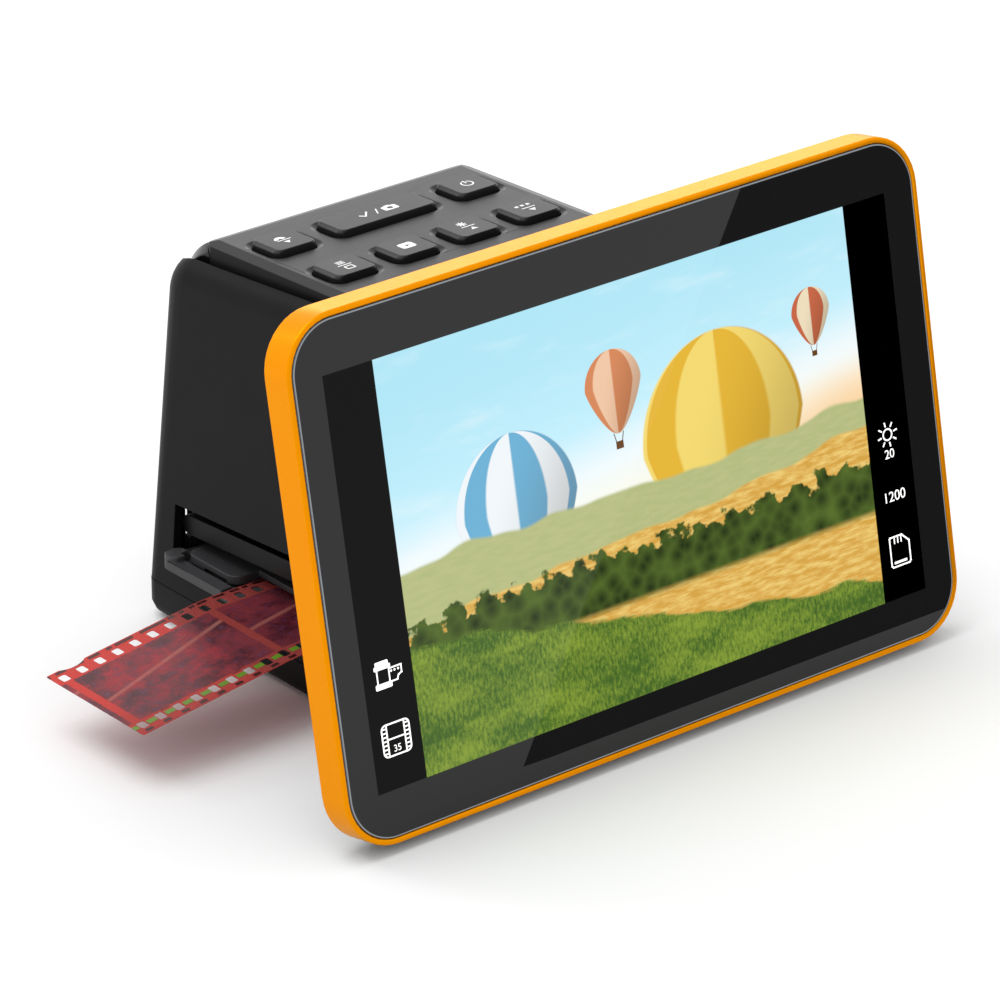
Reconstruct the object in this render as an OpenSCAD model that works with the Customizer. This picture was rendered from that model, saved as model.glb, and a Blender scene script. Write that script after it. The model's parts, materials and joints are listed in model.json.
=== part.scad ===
// Table-top film negative scanner: a wide tilted screen on a small tapered body,
// with a film tray through the body and an optical column above it.
// Millimetres, +Z up, floor at z = 0, X along the screen, the screen faces -Y.

/* [Screen] */
// Width of the picture area of the panel
picture_w = 153.6; // [150:0.1:155]
// Height of the picture area of the panel
picture_h = 90; // [86:0.1:92]
// Width of the orange frame
frame_w = 172; // [170:0.5:176]
// Height of the orange frame
frame_h = 114.4; // [113:0.1:118]
// Depth of the orange frame
frame_d = 8; // [7.8:0.1:9]
// Corner radius of the orange frame
frame_r = 12.5; // [10:0.5:15]
// Visible width of the orange rim round the glass
rim = 1.3; // [1:0.1:1.6]
// How far the screen leans back, in degrees
tilt = 10.9; // [10:0.1:12]
// Height of the middle of the picture
screen_z = 58.5; // [58.5:0.1:60]
// Place of the middle of the picture along Y
screen_y = -51.8; // [-52.6:0.1:-51]

/* [Body] */
// Width of the body at its foot
base_w = 95; // [94:0.5:96]
// Back face of the side covers
back_y = 62.2; // [61.4:0.1:63]
// Wall of the casings
wall = 2.2; // [1.8:0.1:2.4]
// Height of the seam between base and covers
seam_z = 9.5; // [9:0.1:10]
// Width of the raised saddle that carries the buttons
saddle_w = 72.8; // [71:0.2:74]
// Height of the saddle where its back starts to round over
saddle_z = 90.8; // [90:0.1:92]
// Slope of the top towards the back, in degrees
top_slope = 2.73; // [2:0.01:3.2]
// Radius from the top over to the back
saddle_r = 17; // [15:0.5:18]
// Height of the rubber feet
foot_h = 1; // [0.8:0.1:1.4]

/* [Buttons] */
// Distance between button columns
column_pitch = 17; // [16.5:0.1:17.5]
// Distance between the two button rows
row_pitch = 21.2; // [20:0.1:22]
// Width of a small button
button_w = 11.4; // [10:0.1:12]
// Depth of a small button
button_d = 10; // [9:0.1:11]
// How far a button stands over the panel
button_up = 1.2; // [1:0.1:1.6]
// How far a button travels
button_travel = 0.6; // [0.4:0.1:0.7]

/* [Film] */
// Width of 35 mm film
film_w = 34.98; // [34.9:0.01:35.1]
// Thickness of the film
film_t = 0.15; // [0.12:0.01:0.2]
// Length of one frame with its gap
frame_pitch = 38; // [37.8:0.1:38.2]
// How far the strip reaches to the left
film_left = 97.2; // [94:0.1:98]
// Angle at which the free end of the strip hangs
film_droop = 7.5; // [6:0.5:8]

/* [Hidden] */
$fn = 48;
eps = 0.01;
far = 300;

// Screen stack, measured back from the face of the glass
glass_t = 1;
glass_gap = 0.25;
glass_w = frame_w - 2 * rim - 2 * glass_gap;
glass_h = frame_h - 2 * rim - 2 * glass_gap;
glass_r = frame_r - rim - glass_gap;
edge_c = 0.4;
panel_w = picture_w + 11.3;
panel_h = picture_h + 10;
panel_t = 1.3;
light_t = 2.8;
panel_back = glass_t + 0.2 + panel_t;
light_back = panel_back + 0.1 + light_t;
cover_back = frame_d + 1.6;
body_front = cover_back + 0.1;
wall_back = body_front + wall;
display_hole_x = 34;
display_hole_top = 22;
display_hole_low = -40;
display_post_h = cover_back - light_back - 0.2;
ribbon_w = 24;
ribbon_t = 0.3;
ribbon_up = 12;

// Casing
base_half = base_w / 2;
base_corner = 5;
base_round = 3;
shoulder_x = 34;
shoulder_r = 7.5;
shoulder_turn = 3;
shoulder_z = 79.7;
shoulder_slope = 0.086;
shoulder_back = back_y - shoulder_turn - shoulder_r;
crest_x = 37.8;
crest_z = shoulder_z + 6.5;
cove_r = 1.6;
saddle_half = saddle_w / 2;
saddle_back = back_y - 0.2;
saddle_turn = saddle_back - saddle_r;
skirt_z = 80;
front_y = -38.8;
front_shoulder_z = shoulder_z + (shoulder_back - front_y) * shoulder_slope;
front_crest_z = crest_z + (shoulder_back - front_y) * shoulder_slope - 0.3;
joint_gap = 0.1;

// The panel on top reaches back over the start of the rounding
panel_back_y = saddle_turn + 6.7;
panel_r = 3.5;
panel_chamfer_w = 2.5;
panel_chamfer_h = 0.8;
rear_chamfer_h = 2.2;

// Slot low in both sides
slot_front = -28.8;
slot_back = 51.4;
slot_low = 16;
slot_top_back = 29.9;
slot_top_front = 34.9;

// Buttons, in the plane of the top panel, with Y measured from the start of the rounding
row_back = 36.6 - saddle_turn;
row_front = row_back - row_pitch;
column = [-1.5, -0.5, 0.5, 1.5] * column_pitch;
ok_w = button_w + column_pitch - 1;
ok_d = 9.4;
button_gap = 0.3;
button_r = 1.8;
cap_chamfer = 0.7;
recess_margin = 1.6;
recess_low = 0.5;
recess_depth = 0.6;
flange = 0.8;
flange_t = 1;
stem_low = 6;
stem_r = 2;
board_top = 10;
board_t = 1.6;
switch_gap = 0.05;
keypad_post_r = 2.4;

// Film, tray and lid
film_y = 11.4;
film_z = 18;
// five frames with a short margin at both cuts, the middle one in the gate
film_right = film_left;
bend_x = -51.7;
bend_r = 60;
bend_steps = 6;
perforation_pitch = 4.75;
perforation_w = 1.98;
perforation_h = 2.79;
perforation_row = 28.17;
tray_front = -25.8;
tray_back = 50.9;
tray_half = 50.2;
tray_low = 16.3;
tray_top = film_z + 0.6;
groove_w = film_w + 0.5;
groove_floor = film_z - 0.1;
gate_w = 36.6;
gate_h = 24.6;
end_w = 5.2;
end_d = 4.7;
end_top = 19.8;
lid_low = tray_top + 0.1;
lid_t = 1.4;
lid_half = 39.5;
lid_front = -22.8;
lid_back = 47.9;
lid_r = 3;
tab_front = 29.3;
tab_back = 47.4;
tab_reach = 46.2;
tab_low = 18;
tab_r = 3;
nail_front = 32.3;
nail_w = 8;
nail_h = 0.7;
recess_rim = 3.2;
recess_floor = 17.4;
hinge_y = -23.3;
hinge_z = lid_low + 1;
hinge_pin_r = 0.6;
hinge_gap = 0.06;
knuckle_r = 1.3;
knuckle_w = 5;
tray_knuckle_x = 38;
lid_knuckle_x = 32.4;
detent_x = 24;

// Guides and light
channel_half = 42;
channel_front = slot_front - 1.8;
channel_back = slot_back + 1.8;
channel_wall = 2;
channel_low = 14;
channel_floor = 16;
channel_top = 21;
guide_half = 43.8;
guide_low = 22.7;
guide_t = 4.7;
guide_len = 78;
guide_slope = 3.5;
guide_back = 51.2;
foot_x = 37;
foot_y = 44;
foot_r = 4.5;
floor_t = 2;
base_floor = foot_h + floor_t;
optic_w = 40;
optic_d = 28;
led_board_t = 1.2;
led_low = base_floor + led_board_t + 0.05;
light_box_h = 7;

// Optical column and boards
post_x = 37;
post_r = 3.2;
post_top = seam_z - 0.4;
post_sink = 1.6;
ear_t = 2.6;
column_base = 33.2;
column_top = 58;
barrel_r = 8;
barrel_z = [40, 55];
deck_z = 64;
deck_t = 2;
deck_w = 66;
leg_t = 2;
leg_front = -32.8;
leg_back = 57.6;
main_z = 70;
main_size = [68, 54];
main_y = saddle_back - wall - 0.1 - main_size[1];
chip_t = 1.4;
board_post_x = 31;
socket_face = saddle_back - 0.4;
usb_x = -22;
hdmi_x = 0;
card_x = 14;
screw_r = 1.25;
head_r = 2.3;
base_posts = [for (x = [-1, 1], y = [leg_front - 2, leg_back - 5.6]) [x * post_x, y]];
board_posts = [for (x = [-1, 1], y = [4, main_size[1] - 5]) [x * board_post_x, main_y + y]];
keypad_posts = [for (x = [-1, 1], y = [row_back - row_pitch / 2, row_front - 12]) [x * board_post_x, y]];

function top_at(y) = saddle_z + (saddle_turn - y) * tan(top_slope);
// Distance up the plane of the front wall at a given height
function up_screen(z) = (z - screen_z + wall_back * sin(tilt)) / cos(tilt);

// ---- shared shapes ----

module rounded_rect(w, h, r) {
  square([w - 2 * r, h], center = true);
  square([w, h - 2 * r], center = true);
  for (x = [-1, 1], y = [-1, 1])
    translate([x * (w / 2 - r), y * (h / 2 - r)]) circle(r);
}

module rounded_plate(w, h, t, r) {
  linear_extrude(t) rounded_rect(w, h, r);
}

// Local X along the screen, Y up it, Z out of its face
module screen_space() {
  translate([0, screen_y, screen_z]) rotate([90 - tilt, 0, 0]) children();
}

// Local X along the panel, Y to the back, Z out of the top panel
module panel_space() {
  translate([0, saddle_turn, saddle_z]) rotate([-top_slope, 0, 0]) children();
}

// A profile drawn in Y and Z, made into a bar along X
module along_x(length) {
  rotate([90, 0, 90]) linear_extrude(length, center = true) children();
}

module screw(shaft, head_t = 1.5) {
  cylinder(r = screw_r, h = shaft);
  translate([0, 0, -head_t]) difference() {
    cylinder(r = head_r, h = head_t);
    translate([0, 0, -eps]) cylinder(r = 1.1, h = head_t * 0.6, $fn = 6);
  }
}

// ---- screen ----

module screen_frame() {
  color("orange") screen_space() difference() {
    union() {
      translate([0, 0, -frame_d]) rounded_plate(frame_w, frame_h, frame_d - edge_c, frame_r);
      hull() {
        translate([0, 0, -edge_c]) rounded_plate(frame_w, frame_h, eps, frame_r);
        rounded_plate(frame_w - 2 * edge_c, frame_h - 2 * edge_c, eps, frame_r - edge_c);
      }
    }
    translate([0, 0, -glass_t - 0.1])
      rounded_plate(glass_w + 2 * glass_gap, glass_h + 2 * glass_gap, 2, glass_r + glass_gap);
    translate([0, 0, -frame_d - 1]) rounded_plate(panel_w + 0.6, panel_h + 0.6, frame_d + 1, 1);
    translate([0, 0, -frame_d - 1])
      rounded_plate(frame_w - 3.2, frame_h - 3.2, 2.6, frame_r - 1.6);
  }
}

module cover_glass() {
  color("black") screen_space() translate([0, 0, -glass_t])
    rounded_plate(glass_w, glass_h, glass_t, glass_r);
}

module lcd_panel() {
  color("dimgray") screen_space() translate([0, 0, -panel_back])
    rounded_plate(panel_w, panel_h, panel_t, 0.5);
}

module lcd_backlight() {
  color("silver") screen_space() translate([0, 0, -light_back])
    rounded_plate(panel_w, panel_h, light_t, 0.5);
}

module screen_back_cover() {
  color("#1c1c1e") screen_space() difference() {
    union() {
      translate([0, 0, -cover_back]) rounded_plate(frame_w - 7, frame_h - 7, 1.6, frame_r - 3.5);
      translate([0, 0, -frame_d]) rounded_plate(frame_w - 3.6, frame_h - 3.6, 1.5, frame_r - 1.8);
      for (x = [-1, 1], y = [display_hole_low, display_hole_top])
        translate([x * display_hole_x, y, -cover_back]) cylinder(r = 3, h = display_post_h);
    }
    for (x = [-1, 1], y = [display_hole_low, display_hole_top])
      translate([x * display_hole_x, y, -cover_back - 1]) cylinder(r = screw_r, h = 4.2);
    translate([-ribbon_w / 2 - 2, ribbon_up - 3, -cover_back - 1])
      cube([ribbon_w + 4, 6, 6]);
  }
}

// Flat ribbon from the panel through the two walls and down on to the main board
module lcd_ribbon() {
  start = [screen_y + ribbon_up * sin(tilt), screen_z + ribbon_up * cos(tilt)];
  color("#b5651d") {
    screen_space() translate([-ribbon_w / 2, ribbon_up - ribbon_t / 2, -wall_back - 4])
      cube([ribbon_w, ribbon_t, wall_back + 4 - light_back - 0.05]);
    along_x(ribbon_w) polygon([
      [start[0] + 16, start[1] - 3.4],
      [main_y - 3, main_z + board_t + ribbon_t],
      [main_y + 8, main_z + board_t + ribbon_t],
      [main_y + 8, main_z + board_t + 0.02],
      [main_y - 3, main_z + board_t + 0.02],
      [start[0] + 16, start[1] - 3.4 - ribbon_t]
    ]);
  }
}

// ---- casing ----

// Outer form of the body between its foot and its rounded shoulders
module body_form(inset = 0) {
  hull() for (side = [-1, 1]) {
    translate([side * (base_half - base_corner), back_y - base_corner, seam_z - 3])
      cylinder(r = base_corner - inset, h = eps);
    translate([side * (base_half - base_corner), screen_y - 20, seam_z - 3])
      cylinder(r = base_corner - inset, h = eps);
    translate([side * shoulder_x, shoulder_back, shoulder_z - shoulder_turn])
      rotate([0, 90, 0]) shoulder_ring(shoulder_r - inset);
    translate([side * shoulder_x, screen_y, shoulder_z + (shoulder_back - screen_y) * shoulder_slope])
      sphere(shoulder_r - inset, $fn = 36);
  }
}

// Ring that rounds the shoulder over to the back as well as to the side
module shoulder_ring(r) {
  rotate_extrude($fn = 36) intersection() {
    translate([shoulder_turn, 0]) circle(r, $fn = 36);
    translate([0, -r]) square(2 * r + shoulder_turn);
  }
}

// Everything in front of the plane where the front wall begins
module in_front_of(depth) {
  screen_space() translate([-far / 2, -far / 2, -depth]) cube(far);
}

module side_cover(side) {
  difference() {
    body_form(0);
    body_form(wall);
    in_front_of(wall_back);
    // inner half and everything under the seam
    translate([side > 0 ? -far : -saddle_half - joint_gap, -far / 2, -1])
      cube([far + saddle_half + joint_gap, far, far]);
    translate([-far / 2, -far / 2, -far + seam_z + joint_gap]) cube(far);
    // level crest beside the saddle, with a cove down to the saddle wall
    translate([side > 0 ? -far + crest_x : -crest_x, shoulder_back, crest_z])
      rotate([-atan(shoulder_slope), 0, 0]) translate([0, -far / 2, 0]) cube([far, far, 20]);
    translate([side * (crest_x - cove_r), shoulder_back, crest_z])
      rotate([90 - atan(shoulder_slope), 0, 0]) cylinder(r = cove_r, h = far, center = true);
    side_slot();
  }
}

module side_slot() {
  along_x(far) polygon([
    [slot_front, slot_low], [slot_back, slot_low],
    [slot_back, slot_top_back], [slot_front, slot_top_front]
  ]);
}

module left_side_cover() {
  color("#1d1d1f") side_cover(-1);
}

module right_side_cover() {
  color("#1d1d1f") side_cover(1);
}

// Side view of the saddle: the sloping top, the rounding and the back
module saddle_profile(inset, low) {
  polygon([
    [screen_y, low], [screen_y, top_at(screen_y) - inset],
    [saddle_turn, saddle_z - inset], [saddle_turn, low]
  ]);
  translate([saddle_turn - eps, low])
    square([saddle_r - inset + eps, saddle_z - saddle_r - low]);
  intersection() {
    translate([saddle_turn, saddle_z - saddle_r]) circle(saddle_r - inset);
    translate([saddle_turn - eps, saddle_z - saddle_r - eps]) square(saddle_r + 1);
  }
}

module saddle_shell(low) {
  difference() {
    along_x(saddle_w) saddle_profile(0, low);
    along_x(saddle_w - 2 * wall) saddle_profile(wall, low - 1);
  }
}

// Outline of the panel from above, with its two rounded corners at the back
module panel_outline(gap) {
  reach = panel_back_y + gap + far / 2;
  translate([0, panel_back_y + gap - reach / 2, skirt_z - eps]) linear_extrude(far / 4)
    rounded_rect(saddle_w + 2 * gap, reach, panel_r + gap);
}

// The panel with its skirt on both sides and the shallow chamfer round its edge
module panel_form() {
  panel_end = (panel_back_y - saddle_turn) / cos(top_slope);
  drop = skirt_z - saddle_z - saddle_r;
  panel_space() intersection() {
    rotate([90, 0, 0]) linear_extrude(far, center = true) polygon([
      [-saddle_half, drop], [saddle_half, drop],
      [saddle_half, -panel_chamfer_h], [saddle_half - panel_chamfer_w, 0],
      [-saddle_half + panel_chamfer_w, 0], [-saddle_half, -panel_chamfer_h]
    ]);
    along_x(far) polygon([
      [-far / 2, drop], [panel_end, drop], [panel_end, -panel_chamfer_h],
      [panel_end - panel_chamfer_w, 0], [-far / 2, 0]
    ]);
  }
}

module at_button(i, row) {
  translate([i, row, 0]) children();
}

module each_small_button() {
  at_button(column[0], row_back) children();
  at_button(column[3], row_back) children();
  for (x = column) at_button(x, row_front) children();
}

module top_cover() {
  color("#5c5d5f") difference() {
    intersection() {
      panel_form();
      panel_outline(0);
    }
    // inside of the panel, up to the end wall that meets the rear cover
    panel_space() translate([-saddle_half + wall, -far, -far])
      cube([saddle_w - 2 * wall, far + panel_back_y - saddle_turn - wall, far - wall]);
    in_front_of(wall_back);
    translate([-far / 2, panel_back_y - wall - eps, 0]) cube([far, far, saddle_z - 2 * wall]);
    panel_space() {
      each_small_button() button_opening(button_w, button_d);
      at_button(0, row_back) button_opening(ok_w, ok_d);
    }
  }
  color("#5c5d5f") panel_space() for (p = keypad_posts) translate([p[0], p[1], -board_top])
    difference() {
      cylinder(r = keypad_post_r, h = board_top - wall + 0.2);
      translate([0, 0, -1]) cylinder(r = screw_r, h = 6);
    }
}

// Opening for a cap, in the middle of a shallow dish
module button_opening(w, d) {
  translate([0, 0, -wall - 3])
    rounded_plate(w + 2 * button_gap, d + 2 * button_gap, wall + 4, button_r + button_gap);
  hull() {
    translate([0, 0, -recess_depth])
      rounded_plate(w + 2 * recess_low, d + 2 * recess_low, eps, button_r + recess_low);
    rounded_plate(w + 2 * recess_margin, d + 2 * recess_margin, 1, button_r + recess_margin);
  }
}

// The rounding with its chamfered ends, and the back panel under it
module rear_form() {
  edge = saddle_half - panel_chamfer_w;
  back = saddle_back - rear_chamfer_h;
  translate([0, saddle_turn, saddle_z - saddle_r]) rotate([0, 90, 0]) rotate_extrude($fn = 96)
    polygon([
      [0, -saddle_half], [saddle_r - rear_chamfer_h, -saddle_half], [saddle_r + eps, -edge],
      [saddle_r + eps, edge], [saddle_r - rear_chamfer_h, saddle_half], [0, saddle_half]
    ]);
  linear_extrude(saddle_z - saddle_r) polygon([
    [-saddle_half, 0], [-saddle_half, back], [-edge, saddle_back],
    [edge, saddle_back], [saddle_half, back], [saddle_half, 0]
  ]);
}

module rear_cover() {
  socket_z = main_z + board_t;
  color("#141415") difference() {
    intersection() {
      saddle_shell(seam_z + joint_gap);
      rear_form();
    }
    panel_outline(joint_gap);
    translate([-far / 2, saddle_turn - far, 0]) cube(far);
    // below the rounding only the back panel stays
    translate([-far / 2, saddle_back - wall - far, 0]) cube([far, far, saddle_z - saddle_r]);
    // mouths of the three sockets
    translate([usb_x, saddle_back, socket_z + 1.65]) rotate([90, 0, 0])
      translate([0, 0, -1]) rounded_plate(9.6, 3.9, 8, 1.9);
    translate([hdmi_x, saddle_back, socket_z + 1.8]) rotate([90, 0, 0])
      translate([0, 0, -1]) rounded_plate(12, 4, 8, 0.8);
    translate([card_x - 12.6, saddle_back - 5, main_z - 2.5]) cube([25.2, 6, 2.5]);
  }
}

module front_wall() {
  foot = up_screen(foot_h);
  low = up_screen(foot_h + base_round);
  seam = up_screen(seam_z - 3);
  shoulder = up_screen(front_shoulder_z);
  crest = up_screen(front_crest_z);
  // half of the outline, from the foot up to the saddle
  side = [
    [base_half - base_round, foot], [base_half - joint_gap, low], [base_half - joint_gap, seam],
    [shoulder_x + shoulder_r - joint_gap, shoulder], [crest_x - 0.2, crest],
    [saddle_half, crest], [saddle_half, crest + 10]
  ];
  color("#1d1d1f") difference() {
    intersection() {
      screen_space() translate([0, 0, -wall_back + 0.02]) linear_extrude(wall - 0.02)
        for (half = [0, 1]) mirror([half, 0]) polygon(concat(side, [[-eps, crest + 10], [-eps, foot]]));
      along_x(far) saddle_profile(0, foot_h);
    }
    for (x = [-1, 1], y = [display_hole_low, display_hole_top])
      screen_space() translate([x * display_hole_x, y, -wall_back - 1])
        cylinder(r = screw_r + 0.05, h = wall + 2);
    screen_space() translate([-ribbon_w / 2 - 2, ribbon_up - 3, -wall_back - 1])
      cube([ribbon_w + 4, 6, wall + 2]);
  }
}

module base_case() {
  color("#1d1d1f") difference() {
    union() {
      difference() {
        // rounded towards the foot
        hull() {
          base_outline(base_round, foot_h, eps);
          base_outline(base_round * 0.3, foot_h + base_round * 0.3, eps);
          base_outline(0, foot_h + base_round, seam_z - foot_h - base_round);
        }
        base_outline(wall, base_floor, seam_z);
      }
      for (p = base_posts) translate([p[0], p[1], foot_h])
        cylinder(r = post_r, h = post_top - 0.05 - foot_h);
    }
    in_front_of(wall_back);
    for (p = base_posts) translate([p[0], p[1], 0]) {
      cylinder(r = screw_r + 0.05, h = 20);
      cylinder(r = head_r + 0.2, h = foot_h + post_sink);
    }
  }
}

module base_outline(inset, low, h) {
  front = screen_y + 1;
  translate([0, (back_y + front) / 2, low]) linear_extrude(h) rounded_rect(
    base_w - 0.4 - 2 * inset, back_y - front - 2 * inset, base_corner - inset
  );
}

module rubber_feet() {
  color("#2b2b2b") for (x = [-1, 1], y = [-1, 1])
    translate([x * foot_x, y * foot_y, 0]) cylinder(r = foot_r, h = foot_h);
}

// ---- buttons ----

module button_cap(w, d) {
  edge = button_up - cap_chamfer;
  translate([0, 0, -wall]) rounded_plate(w, d, wall + edge, button_r);
  hull() {
    translate([0, 0, edge]) rounded_plate(w, d, eps, button_r);
    translate([0, 0, button_up])
      rounded_plate(w - 2 * cap_chamfer, d - 2 * cap_chamfer, eps, button_r - cap_chamfer);
  }
  translate([0, 0, -wall - 0.1 - flange_t])
    rounded_plate(w + 2 * flange, d + 2 * flange, flange_t, button_r);
  translate([0, 0, -wall - flange_t]) cylinder(r = stem_r + 0.5, h = 1);
  translate([0, 0, -stem_low]) cylinder(r = stem_r, h = stem_low);
}

module small_button(x, row) {
  color("#4a4b4d") panel_space() at_button(x, row) button_cap(button_w, button_d);
}

module button_turn() {
  small_button(column[0], row_back);
}

module button_ok() {
  color("#4a4b4d") panel_space() at_button(0, row_back) button_cap(ok_w, ok_d);
}

module button_power() {
  small_button(column[3], row_back);
}

module button_menu() {
  small_button(column[0], row_front);
}

module button_play() {
  small_button(column[1], row_front);
}

module button_up_arrow() {
  small_button(column[2], row_front);
}

module button_down_arrow() {
  small_button(column[3], row_front);
}

module button_board() {
  color("darkgreen") panel_space() difference() {
    translate([-34, row_front - 15, -board_top - board_t])
      cube([68, row_back - row_front + 22, board_t]);
    for (p = keypad_posts) translate([p[0], p[1], -board_top - board_t - 1])
      cylinder(r = screw_r + 0.05, h = board_t + 2);
  }
}

module tact_switches() {
  plunger_top = stem_low + button_travel + switch_gap;
  color("silver") panel_space() {
    each_small_button() tact_switch(plunger_top);
    at_button(0, row_back) tact_switch(plunger_top);
  }
}

module tact_switch(plunger_top) {
  translate([-3, -3, -board_top]) cube([6, 6, board_top - plunger_top - 0.3]);
  translate([0, 0, -board_top]) cylinder(r = 1.6, h = board_top - plunger_top);
}

module button_ribbon() {
  y = 16;
  low = main_z + board_t + 0.02;
  high = top_at(y) - board_top - board_t - 0.1;
  color("#b5651d") translate([-30, y, low]) cube([10, ribbon_t, high - low]);
}

// ---- frame and guides inside ----

module inner_frame() {
  leg_h = deck_z - base_floor + eps;
  color("#3a3a3c") difference() {
    union() {
      translate([-deck_w / 2, leg_front, deck_z])
        cube([deck_w, leg_back + leg_t - leg_front, deck_t]);
      for (y = [leg_front, leg_back])
        translate([-deck_w / 2, y, base_floor]) cube([deck_w, leg_t, leg_h]);
      for (p = board_posts) translate([p[0], p[1], deck_z])
        cylinder(r = keypad_post_r, h = main_z - deck_z);
      for (p = base_posts) screw_ear(p);
    }
    for (p = base_posts) translate([p[0], p[1], 0]) cylinder(r = screw_r, h = 20);
    translate([0, film_y, deck_z - 1]) cylinder(r = 21, h = deck_t + 2);
    for (p = board_posts) translate([p[0], p[1], deck_z - 1]) cylinder(r = screw_r, h = 12);
    // windows that lighten both legs
    for (y = [leg_front, leg_back]) translate([-22, y - 1, 36]) cube([44, leg_t + 2, 20]);
  }
}

// Ear of the frame that a base screw goes into, with its web to the leg
module screw_ear(p) {
  inner = deck_w / 2 - 3;
  translate([p[0], p[1], post_top]) cylinder(r = post_r + 0.1, h = ear_t);
  translate([p[0] > 0 ? inner : -post_x, p[1], post_top])
    cube([post_x - inner, p[1] > 0 ? 6 : 3, ear_t]);
}

module tray_channel() {
  color("#242426") difference() {
    union() {
      translate([-channel_half, channel_front, channel_low])
        cube([2 * channel_half, channel_back - channel_front, channel_floor - channel_low]);
      for (y = [channel_front, channel_back - channel_wall])
        translate([-channel_half, y, channel_low])
          cube([2 * channel_half, channel_wall, channel_top - channel_low]);
    }
    optic_window(channel_low - 1);
  }
}

// Way of the light through the channel and the guide
module optic_window(low) {
  translate([-optic_w / 2, film_y - optic_d / 2, low]) cube([optic_w, optic_d, 20]);
}

module upper_guide() {
  color("#1b1b1c") difference() {
    translate([0, guide_back, guide_low]) rotate([-guide_slope, 0, 0])
      along_x(2 * guide_half) translate([-guide_len / 2, guide_t / 2])
        rounded_rect(guide_len, guide_t, guide_t / 2 - 0.05);
    optic_window(guide_low - 5);
  }
}

// Two thin leaf springs in the front of the channel that press on the edge of the tray
module detent_springs() {
  spring_h = 1.8;
  spring_t = 0.25;
  nose_r = 1.9;
  color("silver") for (x = [-detent_x, detent_x])
    translate([x, channel_front + channel_wall + 0.2, tray_low + 0.3]) {
      translate([-7, 0, 0]) cube([14, spring_t, spring_h]);
      translate([0, 0.2, 0]) intersection() {
        difference() {
          cylinder(r = nose_r, h = spring_h);
          translate([0, 0, -1]) cylinder(r = nose_r - spring_t, h = spring_h + 2);
        }
        translate([-3, 0, 0]) cube([6, 3, spring_h]);
      }
    }
}

// ---- film tray ----

// Round bar along X on the line of the lid hinge, on both sides
module on_hinge(x, r, length) {
  for (side = [-1, 1]) translate([side * x, hinge_y, hinge_z]) rotate([0, 90, 0])
    cylinder(r = r, h = length, center = true);
}

// Picture gate through the tray and its lid
module film_gate() {
  translate([-gate_w / 2, film_y - gate_h / 2, 0]) cube([gate_w, gate_h, 40]);
}

module film_tray() {
  depth = tray_back - tray_front;
  color("#2c2c2e") difference() {
    union() {
      translate([0, (tray_back + tray_front) / 2, tray_low])
        rounded_plate(2 * tray_half, depth, tray_top - tray_low, 2.5);
      // raised round-cornered ends behind the lid
      for (side = [-1, 1])
        translate([side * (tray_half - end_w / 2), tray_back - end_d / 2, tray_low])
          rounded_plate(end_w, end_d, end_top - tray_low, 2);
      on_hinge(tray_knuckle_x, knuckle_r, knuckle_w);
      for (side = [-1, 1])
        translate([side * tray_knuckle_x - knuckle_w / 2, hinge_y - knuckle_r, tray_low])
          cube([knuckle_w, 2 * knuckle_r, hinge_z - tray_low]);
    }
    translate([-far / 2, film_y - groove_w / 2, groove_floor]) cube([far, groove_w, 3]);
    film_gate();
    // finger recess under the lift tab, behind a low rim
    translate([-tray_half + recess_rim, tab_front - 0.4, recess_floor])
      cube([tray_half - recess_rim - lid_half + 2, tab_back - tab_front + 0.8, 3]);
    on_hinge(tray_knuckle_x, hinge_pin_r, 12);
    // rest for the lid knuckles
    for (side = [-1, 1])
      translate([side * lid_knuckle_x - knuckle_w / 2 - 0.4, hinge_y - 3, tray_top - 0.9])
        cube([knuckle_w + 0.8, 4.6, 3]);
    // notches that the leaf springs click into
    for (x = [-detent_x, detent_x]) translate([x, tray_front - 0.9, 0]) cylinder(r = 2.2, h = 40);
  }
}

module tray_lid() {
  front = lid_front + 1;
  color("#333335") difference() {
    union() {
      translate([0, (lid_back + front) / 2, lid_low])
        rounded_plate(2 * lid_half, lid_back - front, lid_t, lid_r);
      // lift tab at the left end, thicker than the lid
      hull() for (x = [-tab_reach + tab_r, -lid_half + 1], y = [tab_front + tab_r, tab_back - tab_r])
        translate([x, y, tab_low]) cylinder(r = tab_r, h = lid_low + lid_t - tab_low, $fn = 32);
      on_hinge(lid_knuckle_x, knuckle_r, knuckle_w);
      for (side = [-1, 1])
        translate([side * lid_knuckle_x - knuckle_w / 2, hinge_y, lid_low + 0.1])
          cube([knuckle_w, 3, lid_t]);
    }
    film_gate();
    // groove for a nail under the tab
    translate([-tab_reach - 1, nail_front, tab_low - eps]) cube([3, nail_w, nail_h]);
    // under the plate the tab ends at the edge of the recess
    translate([-lid_half + 1.6, tab_front - 1, tab_low - 1])
      cube([10, tab_back - tab_front + 2, lid_low - tab_low + 1]);
    on_hinge(lid_knuckle_x, hinge_pin_r + hinge_gap, 12);
    // clearance round the knuckles of the tray
    for (side = [-1, 1])
      translate([side * tray_knuckle_x - knuckle_w / 2 - 0.5, hinge_y - 2, lid_low - 1])
        cube([knuckle_w + 1, 4.6, 6]);
  }
}

module lid_hinge_pins() {
  color("silver") on_hinge((tray_knuckle_x + lid_knuckle_x) / 2 - 0.2, hinge_pin_r - 0.005, 10.4);
}

// Side view of the strip: flat in the tray, one soft bend, then straight to its free end
// A point of the bend, seen from the front
function bend_point(turn, r) = [bend_x - r * sin(turn), film_z - bend_r + r * cos(turn)];

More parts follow.
